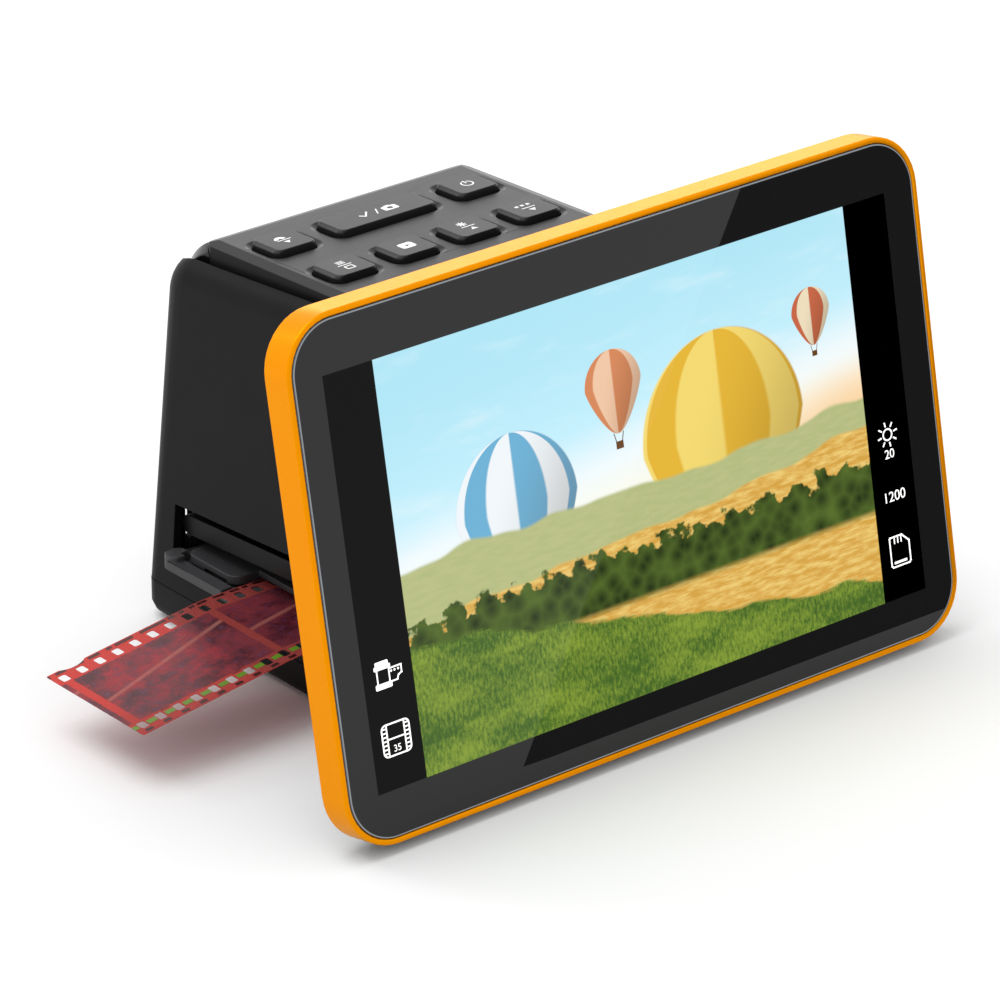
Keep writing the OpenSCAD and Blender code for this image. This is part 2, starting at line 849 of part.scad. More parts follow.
module film_profile() {
  run = (film_left + bend_x - bend_r * sin(film_droop)) / cos(film_droop);
  hang = run * [cos(film_droop), sin(film_droop)];
  over = [for (i = [0 : bend_steps]) bend_point(film_droop * i / bend_steps, bend_r + film_t)];
  under = [for (i = [bend_steps : -1 : 0]) bend_point(film_droop * i / bend_steps, bend_r)];
  polygon(concat(
    [[film_right, film_z], [film_right, film_z + film_t]],
    over, [over[bend_steps] - hang, under[0] - hang], under
  ));
}

module film_strip() {
  holes = round((film_left + film_right) / perforation_pitch);
  color("#9c3b33") difference() {
    translate([0, film_y, 0]) rotate([90, 0, 0]) linear_extrude(film_w, center = true)
      film_profile();
    for (i = [0 : holes - 1], row = [-1, 1])
      translate([
        -film_left + (i + 0.5) * perforation_pitch - perforation_w / 2,
        film_y + row * perforation_row / 2 - perforation_h / 2, 0
      ]) cube([perforation_w, perforation_h, 30]);
  }
}

// ---- light under the film ----

// Block centred on the optical axis, standing at a given height
module on_axis(w, d, low, h) {
  translate([-w / 2, film_y - d / 2, low]) cube([w, d, h]);
}

module led_board() {
  color("white") on_axis(50, 36, base_floor + 0.05, led_board_t);
}

module light_leds() {
  color("gold") for (x = [-2 : 2], y = [-1 : 1])
    translate([x * 7, y * 8, 0]) on_axis(2.8, 3.5, led_low, 0.8);
}

module light_box() {
  color("white") difference() {
    on_axis(48, 34, led_low, light_box_h);
    on_axis(44, 30, 0, 20);
  }
}

module light_diffuser() {
  color("ivory") on_axis(47, 33, led_low + light_box_h + 0.05, 1.8);
}

// ---- optical column above the film ----

module camera_housing() {
  color("#1a1a1a") difference() {
    union() {
      on_axis(48, 34, column_base, 5);
      translate([0, film_y, column_base + 4]) cylinder(r = 14, h = column_top - column_base - 4);
    }
    on_axis(optic_w, optic_d, column_base - 1, 4);
    translate([0, film_y, column_base - 1]) cylinder(r = barrel_r, h = 40);
    on_axis(22, 22, column_top - 3, 5);
  }
}

module lens_barrel() {
  color("#222222") translate([0, film_y, barrel_z[0]]) difference() {
    cylinder(r = barrel_r - 0.05, h = barrel_z[1] - barrel_z[0] - 0.2);
    translate([0, 0, -1]) cylinder(r = 4.5, h = 30);
    translate([0, 0, -1]) cylinder(r = 6.5, h = 4.5);
    translate([0, 0, 10]) cylinder(r = 5.5, h = 30);
  }
}

module front_lens() {
  color("lightblue") translate([0, film_y, barrel_z[0] + 0.5]) intersection() {
    cylinder(r = 6.45, h = 3);
    translate([0, 0, 12.9]) sphere(13, $fn = 96);
  }
}

module rear_lens() {
  color("lightblue") translate([0, film_y, barrel_z[0] + 10.05]) cylinder(r = 5.45, h = 2.4);
}

module ir_filter() {
  color("lightpink") on_axis(10, 10, barrel_z[1] + 0.4, 0.5);
}

module image_sensor() {
  color("#30343c") on_axis(11, 9, column_top - 1.8, 1.78);
}

module sensor_board() {
  color("darkgreen") on_axis(32, 32, column_top + 0.02, board_t);
}

// ---- boards and sockets ----

module main_board() {
  color("darkgreen") difference() {
    translate([-main_size[0] / 2, main_y, main_z + 0.02])
      cube([main_size[0], main_size[1], board_t - 0.02]);
    for (p = board_posts) translate([p[0], p[1], main_z - 1])
      cylinder(r = screw_r + 0.05, h = 4);
  }
}

module main_chips() {
  z = main_z + board_t + 0.02;
  color("#202020") {
    translate([-8, 20, z]) cube([14, 14, chip_t]);
    translate([10, 22, z]) cube([11, 10, chip_t]);
    translate([-8, 37, z]) cube([8, 6, chip_t]);
  }
}

module usb_socket() {
  color("silver") translate([usb_x, socket_face, main_z + board_t + 1.65]) rotate([90, 0, 0])
    difference() {
      rounded_plate(8.94, 3.2, 7.3, 1.55);
      translate([0, 0, -1]) rounded_plate(8.3, 2.56, 7, 1.25);
    }
}

module hdmi_socket() {
  color("silver") translate([hdmi_x, socket_face, main_z + board_t + 1.8]) rotate([90, 0, 0])
    difference() {
      rounded_plate(11.2, 3.5, 7.5, 0.4);
      translate([0, 0, -1]) rounded_plate(10.6, 2.9, 7, 0.3);
    }
}

module card_socket() {
  depth = 25;
  color("silver") translate([card_x - 14, saddle_back - wall - depth - 0.1, main_z - 2.6])
    difference() {
      cube([28, depth, 2.6]);
      translate([1.9, 4, 0.2]) cube([24.2, depth, 2.2]);
    }
}

// ---- fasteners ----

module base_screws() {
  color("silver") for (p = base_posts) translate([p[0], p[1], foot_h + post_sink]) screw(8.4, 1.4);
}

module display_screws() {
  color("silver") screen_space() for (x = [-1, 1], y = [display_hole_low, display_hole_top])
    translate([x * display_hole_x, y, -wall_back - 0.02]) screw(wall + 3.1);
}

module board_screws() {
  color("silver") for (p = board_posts)
    translate([p[0], p[1], main_z + board_t + 0.02]) rotate([180, 0, 0]) screw(5);
}

module keypad_screws() {
  color("silver") panel_space() for (p = keypad_posts)
    translate([p[0], p[1], -board_top - board_t - 0.02]) screw(6);
}

screen_frame();
cover_glass();
lcd_panel();
lcd_backlight();
screen_back_cover();
lcd_ribbon();
left_side_cover();
right_side_cover();
top_cover();
rear_cover();
front_wall();
base_case();
rubber_feet();
button_turn();
button_ok();
button_power();
button_menu();
button_play();
button_up_arrow();
button_down_arrow();
button_board();
tact_switches();
button_ribbon();
inner_frame();
tray_channel();
upper_guide();
detent_springs();
film_tray();
tray_lid();
lid_hinge_pins();
film_strip();
led_board();
light_leds();
light_box();
light_diffuser();
camera_housing();
lens_barrel();
front_lens();
rear_lens();
ir_filter();
image_sensor();
sensor_board();
main_board();
main_chips();
usb_socket();
card_socket();
hdmi_socket();
base_screws();
display_screws();
board_screws();
keypad_screws();
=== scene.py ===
"""Looks of a table-top film scanner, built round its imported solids."""

from __future__ import annotations

import json
import logging
import math
from dataclasses import dataclass, field
from enum import Enum
from typing import Any, Iterable, Sequence

import bmesh
import bpy
from mathutils import Matrix, Vector

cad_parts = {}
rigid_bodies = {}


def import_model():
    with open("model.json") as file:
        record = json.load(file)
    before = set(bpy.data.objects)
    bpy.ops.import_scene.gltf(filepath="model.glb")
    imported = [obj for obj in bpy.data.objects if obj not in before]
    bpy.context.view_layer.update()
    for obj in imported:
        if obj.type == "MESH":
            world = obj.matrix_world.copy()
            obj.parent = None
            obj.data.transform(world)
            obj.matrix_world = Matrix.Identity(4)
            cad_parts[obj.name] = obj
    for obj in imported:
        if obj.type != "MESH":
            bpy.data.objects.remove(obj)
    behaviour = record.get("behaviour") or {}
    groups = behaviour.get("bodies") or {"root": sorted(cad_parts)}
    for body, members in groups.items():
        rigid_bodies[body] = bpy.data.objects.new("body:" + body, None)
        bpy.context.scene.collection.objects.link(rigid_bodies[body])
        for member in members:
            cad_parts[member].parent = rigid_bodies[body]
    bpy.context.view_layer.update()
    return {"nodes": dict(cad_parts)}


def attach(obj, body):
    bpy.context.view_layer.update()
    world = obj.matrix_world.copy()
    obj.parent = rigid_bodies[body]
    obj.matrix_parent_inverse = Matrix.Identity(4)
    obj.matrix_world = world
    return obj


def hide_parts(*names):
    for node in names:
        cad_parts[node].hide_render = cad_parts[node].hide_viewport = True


for default in list(bpy.data.objects):
    bpy.data.objects.remove(default)
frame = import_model()

logging.basicConfig(level=logging.INFO, format="%(message)s")
log = logging.getLogger("scanner")

MM = 0.001
# a height over the button panel that is under the whole scanner, in millimetres
BELOW_ALL = -900.0
Colour = tuple[float, float, float, float]


def paint(code: str) -> Colour:
    """Turns a hex colour into linear light.

    Args:
        code: Six hex digits after a hash.

    Returns:
        Red, green, blue and an alpha of one.
    """
    parts = [int(code[i : i + 2], 16) / 255 for i in (1, 3, 5)]
    linear = [p / 12.92 if p <= 0.04045 else ((p + 0.055) / 1.055) ** 2.4 for p in parts]
    return (*linear, 1.0)


def toned(colour: Colour, by: float) -> Colour:
    """Makes a colour lighter or darker by a factor."""
    return (*(c * by for c in colour[:3]), 1.0)


class Slot(Enum):
    """Material slots of the record."""

    ORANGE = "orange_frame"
    GLASS = "black_glass"
    BLACK = "black_plastic"
    GLOSS = "glossy_black"
    GREY = "grey_plastic"
    BUTTON = "button_grey"
    RUBBER = "foot_rubber"
    TRAY = "tray_plastic"
    FILM = "film_base"
    INK = "white_ink"


class Place(Enum):
    """Planes that pieces are drawn on: X to the right, Y up or back, Z out of the plane."""

    WORLD = ((0.0, 0.0, 0.0), 0.0)
    SCREEN = ((0.0, -51.8, 58.5), 79.1)
    PANEL = ((0.0, 45.0, 90.8), -2.73)

    @property
    def origin(self) -> tuple[float, float, float]:
        """Gives the plane's origin in millimetres."""
        return self.value[0]

    @property
    def turn(self) -> float:
        """Gives the plane's turn about X in radians."""
        return math.radians(self.value[1])

    def matrix(self) -> Matrix:
        """Gives the transform from the plane to the object's frame, in millimetres."""
        return Matrix.Translation(self.origin) @ Matrix.Rotation(self.turn, 4, "X")


# ---- materials ----


class Wire:
    """An output socket that takes part in sums."""

    def __init__(self, shader: Shader, socket: bpy.types.NodeSocket) -> None:
        """Keeps the socket and the shader it belongs to."""
        self.shader = shader
        self.socket = socket

    def sum(self, operation: str, other: Wire | float, swap: bool = False) -> Wire:
        """Adds a Math node.

        Args:
            operation: The node's operation.
            other: The second value.
            swap: Whether the second value comes first.

        Returns:
            The node's result.
        """
        pair = (other, self) if swap else (self, other)
        return self.shader.node("ShaderNodeMath", {"operation": operation}, {0: pair[0], 1: pair[1]})

    def __add__(self, other: Wire | float) -> Wire:
        """Adds."""
        return self.sum("ADD", other)

    __radd__ = __add__

    def __sub__(self, other: Wire | float) -> Wire:
        """Subtracts."""
        return self.sum("SUBTRACT", other)

    def __rsub__(self, other: Wire | float) -> Wire:
        """Subtracts from a number."""
        return self.sum("SUBTRACT", other, swap=True)

    def __mul__(self, other: Wire | float) -> Wire:
        """Multiplies."""
        return self.sum("MULTIPLY", other)

    __rmul__ = __mul__

    def __truediv__(self, other: Wire | float) -> Wire:
        """Divides."""
        return self.sum("DIVIDE", other)

    def __pow__(self, other: Wire | float) -> Wire:
        """Raises to a power."""
        return self.sum("POWER", other)

    def __gt__(self, other: Wire | float) -> Wire:
        """Gives one where this is greater."""
        return self.sum("GREATER_THAN", other)

    def __lt__(self, other: Wire | float) -> Wire:
        """Gives one where this is less."""
        return self.sum("LESS_THAN", other)

    def __abs__(self) -> Wire:
        """Drops the sign."""
        return self.sum("ABSOLUTE", 0.0)

    def least(self, other: Wire | float) -> Wire:
        """Gives the smaller."""
        return self.sum("MINIMUM", other)

    def most(self, other: Wire | float) -> Wire:
        """Gives the greater."""
        return self.sum("MAXIMUM", other)

    def ramp(self, low: float, high: float, start: float = 0.0, end: float = 1.0) -> Wire:
        """Goes smoothly from one value to another.

        Args:
            low: Where it starts to change.
            high: Where it has changed.
            start: Its value up to low.
            end: Its value from high on.

        Returns:
            The value.
        """
        values = {"From Min": low, "From Max": high, "To Min": start, "To Max": end, "Value": self}
        settings = {"interpolation_type": "SMOOTHSTEP"}
        return self.shader.node("ShaderNodeMapRange", settings, values)

    def above(self, limit: float, blur: float) -> Wire:
        """Gives one over a limit, with a soft edge."""
        return self.ramp(limit - blur, limit + blur)

    def below(self, limit: float, blur: float) -> Wire:
        """Gives one under a limit, with a soft edge."""
        return self.ramp(limit - blur, limit + blur, 1.0, 0.0)


class Shader:
    """A material or world whose nodes are added one by one."""

    def __init__(self, name: str, world: bool = False) -> None:
        """Starts an empty node tree.

        Args:
            name: The material's name.
            world: Whether it is the world's tree.
        """
        self.owner = bpy.data.worlds.new(name) if world else bpy.data.materials.new(name)
        self.owner.use_nodes = True
        self.tree = self.owner.node_tree
        self.tree.nodes.clear()

    def node(
        self,
        kind: str,
        settings: dict[str, Any] | None = None,
        values: dict[int | str, Any] | None = None,
        output: int | str = 0,
    ) -> Wire:
        """Adds one node.

        Args:
            kind: The node's type.
            settings: Its settings; "stops" are a ramp's places and colours.
            values: Numbers, colours or wires for its sockets.
            output: Which output to give back.

        Returns:
            That output.
        """
        made = self.tree.nodes.new(kind)
        for key, value in (settings or {}).items():
            if key == "stops":
                while len(made.color_ramp.elements) < len(value):
                    made.color_ramp.elements.new(0.5)
                for stop, (place, colour) in zip(made.color_ramp.elements, value):
                    stop.position = place
                    stop.color = colour
            else:
                setattr(made, key, value)
        for key, value in (values or {}).items():
            if isinstance(value, Wire):
                self.tree.links.new(value.socket, made.inputs[key])
            else:
                made.inputs[key].default_value = value
        return Wire(self, made.outputs[output])

    def spot(self, place: Place = Place.WORLD) -> Wire:
        """Gives the position in a plane's own millimetres.

        Args:
            place: The plane.

        Returns:
            The position as a vector.
        """
        here = self.node("ShaderNodeTexCoord", output="Object")
        values = {
            "Vector": here,
            "Location": [c * MM for c in place.origin],
            "Rotation": (place.turn, 0.0, 0.0),
            "Scale": (MM, MM, MM),
        }
        return self.node("ShaderNodeMapping", {"vector_type": "TEXTURE"}, values)

    def split(self, vector: Wire) -> tuple[Wire, Wire, Wire]:
        """Takes a vector apart.

        Args:
            vector: The vector.

        Returns:
            Its three parts.
        """
        first = self.node("ShaderNodeSeparateXYZ", None, {0: vector})
        outputs = first.socket.node.outputs
        return first, Wire(self, outputs[1]), Wire(self, outputs[2])

    def join(self, x: Wire | float, y: Wire | float, z: Wire | float = 0.0) -> Wire:
        """Makes a vector of three parts."""
        return self.node("ShaderNodeCombineXYZ", None, {0: x, 1: y, 2: z})

    def stretch(self, vector: Wire, scale: Sequence[float]) -> Wire:
        """Multiplies a vector part by part."""
        return self.node("ShaderNodeVectorMath", {"operation": "MULTIPLY"}, {0: vector, 1: scale})

    def noise(self, vector: Wire, scale: float, detail: float = 2.0, rough: float = 0.5) -> Wire:
        """Adds a noise texture and gives its value."""
        values = {"Vector": vector, "Scale": scale, "Detail": detail, "Roughness": rough}
        return self.node("ShaderNodeTexNoise", None, values, "Fac")

    def cells(self, vector: Wire, scale: float, feature: str = "F1") -> Wire:
        """Adds a Voronoi texture and gives its distance."""
        values = {"Vector": vector, "Scale": scale}
        return self.node("ShaderNodeTexVoronoi", {"feature": feature}, values, "Distance")

    def mix(self, share: Wire | float, first: Wire | Colour, second: Wire | Colour) -> Wire:
        """Mixes two colours."""
        values = {0: share, 6: first, 7: second}
        return self.node("ShaderNodeMix", {"data_type": "RGBA"}, values, 2)

    def bump(self, height: Wire, depth: float, strength: float = 1.0) -> Wire:
        """Turns a height into a normal; depth is in millimetres."""
        values = {"Height": height, "Distance": depth * MM, "Strength": strength}
        return self.node("ShaderNodeBump", None, values)

    def principled(self, sockets: dict[str, Any]) -> Wire:
        """Adds the main surface shader."""
        return self.node("ShaderNodeBsdfPrincipled", None, sockets)

    def finish(self, surface: Wire) -> Any:
        """Links the surface to the output.

        Args:
            surface: The shader that the surface or the world gets.

        Returns:
            The finished material or world.
        """
        kind = "World" if isinstance(self.owner, bpy.types.World) else "Material"
        made = self.tree.nodes.new(f"ShaderNodeOutput{kind}")
        self.tree.links.new(surface.socket, made.inputs["Surface"])
        return self.owner

    def surface(self, sockets: dict[str, Any]) -> bpy.types.Material:
        """Finishes a material that is the main surface shader alone."""
        return self.finish(self.principled(sockets))


@dataclass(frozen=True)
class Moulded:
    """Moulded plastic with a fine eroded grain and faint clouds in its colour.

    Its clear coat begins coat_low millimetres over the button panel's plane.
    """

    name: str
    colour: str
    roughness: float = 0.42
    specular: float = 0.3
    grain: float = 0.35
    depth: float = 0.006
    cloud: float = 0.12
    coat: float = 0.0
    coat_rough: float = 0.08
    coat_low: float = BELOW_ALL
    coat_blur: float = 0.1

    def material(self) -> bpy.types.Material:
        """Builds the plastic.

        Returns:
            The material.
        """
        shader = Shader(self.name)
        here = shader.spot()
        over = shader.split(shader.spot(Place.PANEL))[2]
        tint = paint(self.colour)
        light, dark = toned(tint, 1 + self.cloud), toned(tint, 1 - self.cloud)
        cloudy = shader.noise(here, 0.05, 4.0)
        fine = shader.noise(here, 1 / self.grain, 3.0, 0.6)
        smear = shader.noise(shader.stretch(here, (0.03, 0.1, 0.06)), 1.0, 3.0)
        return shader.surface(
            {
                "Base Color": shader.mix(cloudy, dark, light),
                "Roughness": self.roughness + (smear - 0.5) * 0.12 + (fine - 0.5) * 0.06,
                "Specular IOR Level": self.specular,
                "Coat Weight": over.above(self.coat_low, self.coat_blur) * self.coat,
                "Coat Roughness": self.coat_rough,
                "Normal": shader.bump(fine, self.depth),
            }
        )


@dataclass(frozen=True)
class Lacquer:
    """Satin orange lacquer with a faint orange-peel skin."""

    name: str = "orange_lacquer"
    colour: str = "#ffa000"
    deep: str = "#ff9800"
    bounce: str = "#5c544c"

    def material(self) -> bpy.types.Material:
        """Builds the lacquer, which throws only a dull light on what stands round it.

        Returns:
            The material.
        """
        shader = Shader(self.name)
        here = shader.spot()
        peel = shader.noise(here, 0.9, 2.0)
        cloudy = shader.noise(here, 0.04, 3.0)
        scuff = shader.noise(shader.stretch(here, (0.4, 0.4, 0.1)), 1.0, 5.0, 0.65)
        thrown = shader.node("ShaderNodeLightPath", output="Is Diffuse Ray")
        orange = shader.mix(cloudy, paint(self.deep), paint(self.colour))
        return shader.surface(
            {
                "Base Color": shader.mix(thrown, orange, paint(self.bounce)),
                "Roughness": 0.25 + (scuff - 0.5) * 0.12,
                "Metallic": 0.35 + cloudy * 0.1,
                "Specular IOR Level": 0.1,
                "Specular Tint": (1.0, 0.85, 0.2, 1.0),
                "Normal": shader.bump(peel, 0.01),
            }
        )


@dataclass(frozen=True)
class Metal:
    """Plated or rolled metal with fine lines along X."""

    name: str
    colour: str
    roughness: float = 0.3

    def material(self) -> bpy.types.Material:
        """Builds the metal.

        Returns:
            The material.
        """
        shader = Shader(self.name)
        here = shader.spot()
        lines = shader.noise(shader.stretch(here, (0.2, 6.0, 6.0)), 1.0, 3.0)
        stain = shader.noise(here, 0.3, 4.0)
        tint = paint(self.colour)
        dull = toned(tint, 0.8)
        return shader.surface(
            {
                "Base Color": shader.mix(stain, dull, tint),
                "Metallic": 1.0,
                "Roughness": self.roughness + (lines - 0.5) * 0.2,
                "Normal": shader.bump(lines, 0.004),
            }
        )


@dataclass(frozen=True)
class Board:
    """Solder mask over copper tracks, with pads."""

    name: str
    colour: str
    track: str

    def material(self) -> bpy.types.Material:
        """Builds the board.

        Returns:
            The material.
        """
        shader = Shader(self.name)
        here = shader.spot()
        values = {"Vector": here, "Scale": 0.8, "Mortar Size": 0.09, "Mortar Smooth": 0.1}
        settings = {"offset": 0.37, "squash": 1.6, "squash_frequency": 3}
        tracks = shader.node("ShaderNodeTexBrick", settings, values, "Fac")
        pads = shader.cells(here, 0.28) < 0.16
        blotch = shader.noise(here, 0.6, 4.0)
        mask = shader.mix(tracks, paint(self.colour), paint(self.track))
        copper = shader.mix(pads, mask, paint("#c9a45a"))
        return shader.surface(
            {
                "Base Color": copper,
                "Roughness": 0.32 + blotch * 0.15,
                "Metallic": pads * 0.8,
                "Normal": shader.bump(tracks.most(pads), 0.03),
            }
        )


@dataclass(frozen=True)
class Rubber:
    """Matt rubber with dust in its pores."""

    name: str = "foot_rubber"
    colour: str = "#232323"

    def material(self) -> bpy.types.Material:
        """Builds the rubber.

        Returns:
            The material.
        """
        shader = Shader(self.name)
        here = shader.spot()
        pores = shader.cells(here, 3.0)
        dust = shader.noise(here, 0.7, 5.0).ramp(0.5, 0.8)
        return shader.surface(
            {
                "Base Color": shader.mix(dust * 0.25, paint(self.colour), paint("#5a5752")),
                "Roughness": 0.78 + dust * 0.15,
                "Specular IOR Level": 0.25,
                "Normal": shader.bump(pores, 0.03),
            }
        )


@dataclass(frozen=True)
class Ink:
    """Silk-screened white ink, a little uneven where the mesh pressed, that glows: on the buttons the
    glow is painted light that makes the print read brighter, on the screen's signs it is the display's
    own light.
    """

    name: str = "white_print"
    colour: str = "#f4f4f2"
    glow: float = 0.25

    def material(self) -> bpy.types.Material:
        """Builds the ink.

        Returns:
            The material.
        """
        shader = Shader(self.name)
        here = shader.spot()
        weave = shader.noise(here, 8.0, 2.0)
        return shader.surface(
            {
                "Base Color": shader.mix(weave * 0.3, paint(self.colour), paint("#d8d8d6")),
                "Roughness": 0.5 + weave * 0.15,
                # the emission is a painted glow on printed marks and the display's light on the
                # screen's signs
                "Emission Color": paint(self.colour),
                "Emission Strength": self.glow,
                "Normal": shader.bump(weave, 0.01),
            }
        )


@dataclass(frozen=True)
class Clear:
    """Coated optical glass."""

    name: str
    tint: str
    roughness: float = 0.02

    def material(self) -> bpy.types.Material:
        """Builds the glass.

        Returns:
            The material.
        """
        shader = Shader(self.name)
        smudge = shader.noise(shader.spot(), 0.8, 3.0)
        return shader.surface(
            {
                "Base Color": shader.mix(smudge, paint(self.tint), paint("#f4f8ff")),
                "Roughness": self.roughness + smudge * 0.04,
                "Transmission Weight": 0.9,
                "Coat Weight": 0.6,
                "Coat Tint": paint("#b890ff"),
            }
        )


@dataclass(frozen=True)
class Balloon:
    """One balloon of the picture, in shares of half the picture's height."""

    x: float
    y: float
    size: float
    gores: float
    light: str
    dark: str


@dataclass(frozen=True)
class Landscape:
    """A made-up picture for the screen: fields under a pale sky with balloons over them."""

    half: float = 45.0
    balloons: tuple[Balloon, ...] = (
        Balloon(0.55, 0.12, 0.5, 5.0, "#f7dc74", "#e8b93c"),
        Balloon(-0.72, 0.1, 0.36, 6.0, "#f2f8fb", "#6fb4d8"),
        Balloon(-0.08, 0.52, 0.17, 4.0, "#f3c9a8", "#d98a5c"),
        Balloon(1.16, 0.55, 0.12, 4.0, "#f0e0c0", "#c96a4a"),
    )

    def colours(self, shader: Shader, x: Wire, y: Wire) -> Wire:
        """Paints the picture.

        Args:
            shader: The shader that it belongs to.
            x: Millimetres to the right of the picture's middle.
            y: Millimetres above it.

        Returns:
            The colour of each point.
        """
        u, v = x / self.half, y / self.half
        seen = self.sky(shader, u, v)
        for balloon in self.balloons:
            seen = self.float_over(shader, u, v, seen, balloon)
        return self.land(shader, u, v, seen)

    def sky(self, shader: Shader, u: Wire, v: Wire) -> Wire:
        """Paints a sky that pales towards the horizon, with thin cloud.

        Args:
            shader: The shader that it belongs to.
            u: Shares of half the picture's height to the right of its middle.
            v: The same above its middle.

        Returns:
            The colour of each point.
        """
        height = (v - u * 0.12).ramp(-0.45, 1.05)
        stops = [
            (0.0, paint("#fff6dc")),
            (0.2, paint("#fffdee")),
            (0.38, paint("#f2fcff")),
            (0.6, paint("#c6f1fe")),
            (1.0, paint("#b2e8f8")),
        ]
        blue = shader.node("ShaderNodeValToRGB", {"stops": stops}, {0: height})
        wisps = shader.noise(shader.join(u * 1.1, v * 4.0), 1.6, 5.0, 0.55).ramp(0.5, 0.78)
        aside, under = u - 1.5, (v + 0.15) * 2.2
        glow = (aside * aside + under * under).ramp(0.0, 1.0, 0.9, 0.0)
        clouded = shader.mix(wisps * 0.3, blue, paint("#ffffff"))
        return shader.mix(glow, clouded, paint("#fdd094"))

    def land(self, shader: Shader, u: Wire, v: Wire, behind: Wire) -> Wire:
        """Paints far hills, gold fields, a line of trees and a green foreground.

        Args:
            shader: The shader that it belongs to.
            u: Shares of half the picture's height to the right of its middle.
            v: The same above its middle.
            behind: The colour of what is further away.

        Returns:
            The colour of each point.
        """
        roll = shader.noise(shader.join(u * 0.9, 0.0), 1.3, 2.0)
        grain = shader.noise(shader.join(u * 3.0, v * 14.0), 3.0, 4.0, 0.6)
        leaf = shader.cells(shader.join(u * 6.0, v * 6.0), 2.2)
        far = (v + 0.16 - roll * 0.34).below(0.0, 0.012)
        gold = (v + 0.36 - roll * 0.3 - u * 0.06).below(0.0, 0.01)
        crowns = shader.noise(shader.join(u * 5.0, v * 5.0), 2.0, 3.0)
        trees = (v + 0.5 - crowns * 0.3 - roll * 0.14).below(0.0, 0.012)
        green = (v + 0.83 - roll * 0.34 + u * 0.2 - grain * 0.06).below(0.0, 0.012)
        hills = shader.mix(grain, paint("#c8c890"), paint("#a9b87c"))
        wheat = shader.mix(grain.ramp(0.35, 0.7), paint("#d9a548"), paint("#f3d27c"))
        woods = shader.mix(leaf, paint("#233019"), paint("#59702f"))
        blades = shader.noise(shader.join(u * 22.0, v * 9.0), 3.0, 5.0, 0.7)
        swell = shader.noise(shader.join(u * 1.2, v * 3.4), 2.0, 3.0)
        thick = (blades * 0.6 + swell * 0.4).ramp(0.36, 0.62)
        grass = shader.mix(thick, paint("#8aa23c"), paint("#44662a"))
        seen = shader.mix(far, behind, hills)
        seen = shader.mix(gold, seen, wheat)
        band = trees * (v + 0.52).ramp(-0.04, 0.01)
        seen = shader.mix(band, seen, woods)
        return shader.mix(green, seen, grass)

    def float_over(self, shader: Shader, u: Wire, v: Wire, behind: Wire, b: Balloon) -> Wire:
        """Paints one balloon with its gores, mouth and basket.

        Args:
            shader: The shader that it belongs to.
            u: Shares of half the picture's height to the right of its middle.
            v: The same above its middle.
            behind: The colour of what is further away.
            b: The balloon.

        Returns:
            The colour of each point.
        """
        x, y = (u - b.x) / b.size, (v - b.y) / b.size
        low = y.least(0.0)
        height = y.most(0.0) + low * 0.72
        across = x / (1.0 + low * 0.3)
        inside = (across * across + height * height).below(1.0, 0.03)
        bulge = (1.0 - height * height).most(0.004) ** 0.5
        turn = (across / bulge).sum("ARCSINE", 0.0)
        stripe = (turn * b.gores).sum("SINE", 0.0).above(0.0, 0.15)
        cloth = shader.mix(stripe, paint(b.light), paint(b.dark))
        shade = (across * 0.6 - height * 0.35).ramp(-0.3, 0.9, 0.0, 0.45)
        cloth = shader.mix(shade, cloth, paint("#5a3a20"))
        basket = (abs(x) < 0.13) * (abs(y + 1.72) < 0.11)
        ropes = (abs(abs(x) - 0.11 - (y + 1.6) * 0.25) < 0.016) * (abs(y + 1.5) < 0.14)
        seen = shader.mix(basket.most(ropes), behind, paint("#6a4526"))
        return shader.mix(inside, seen, cloth)


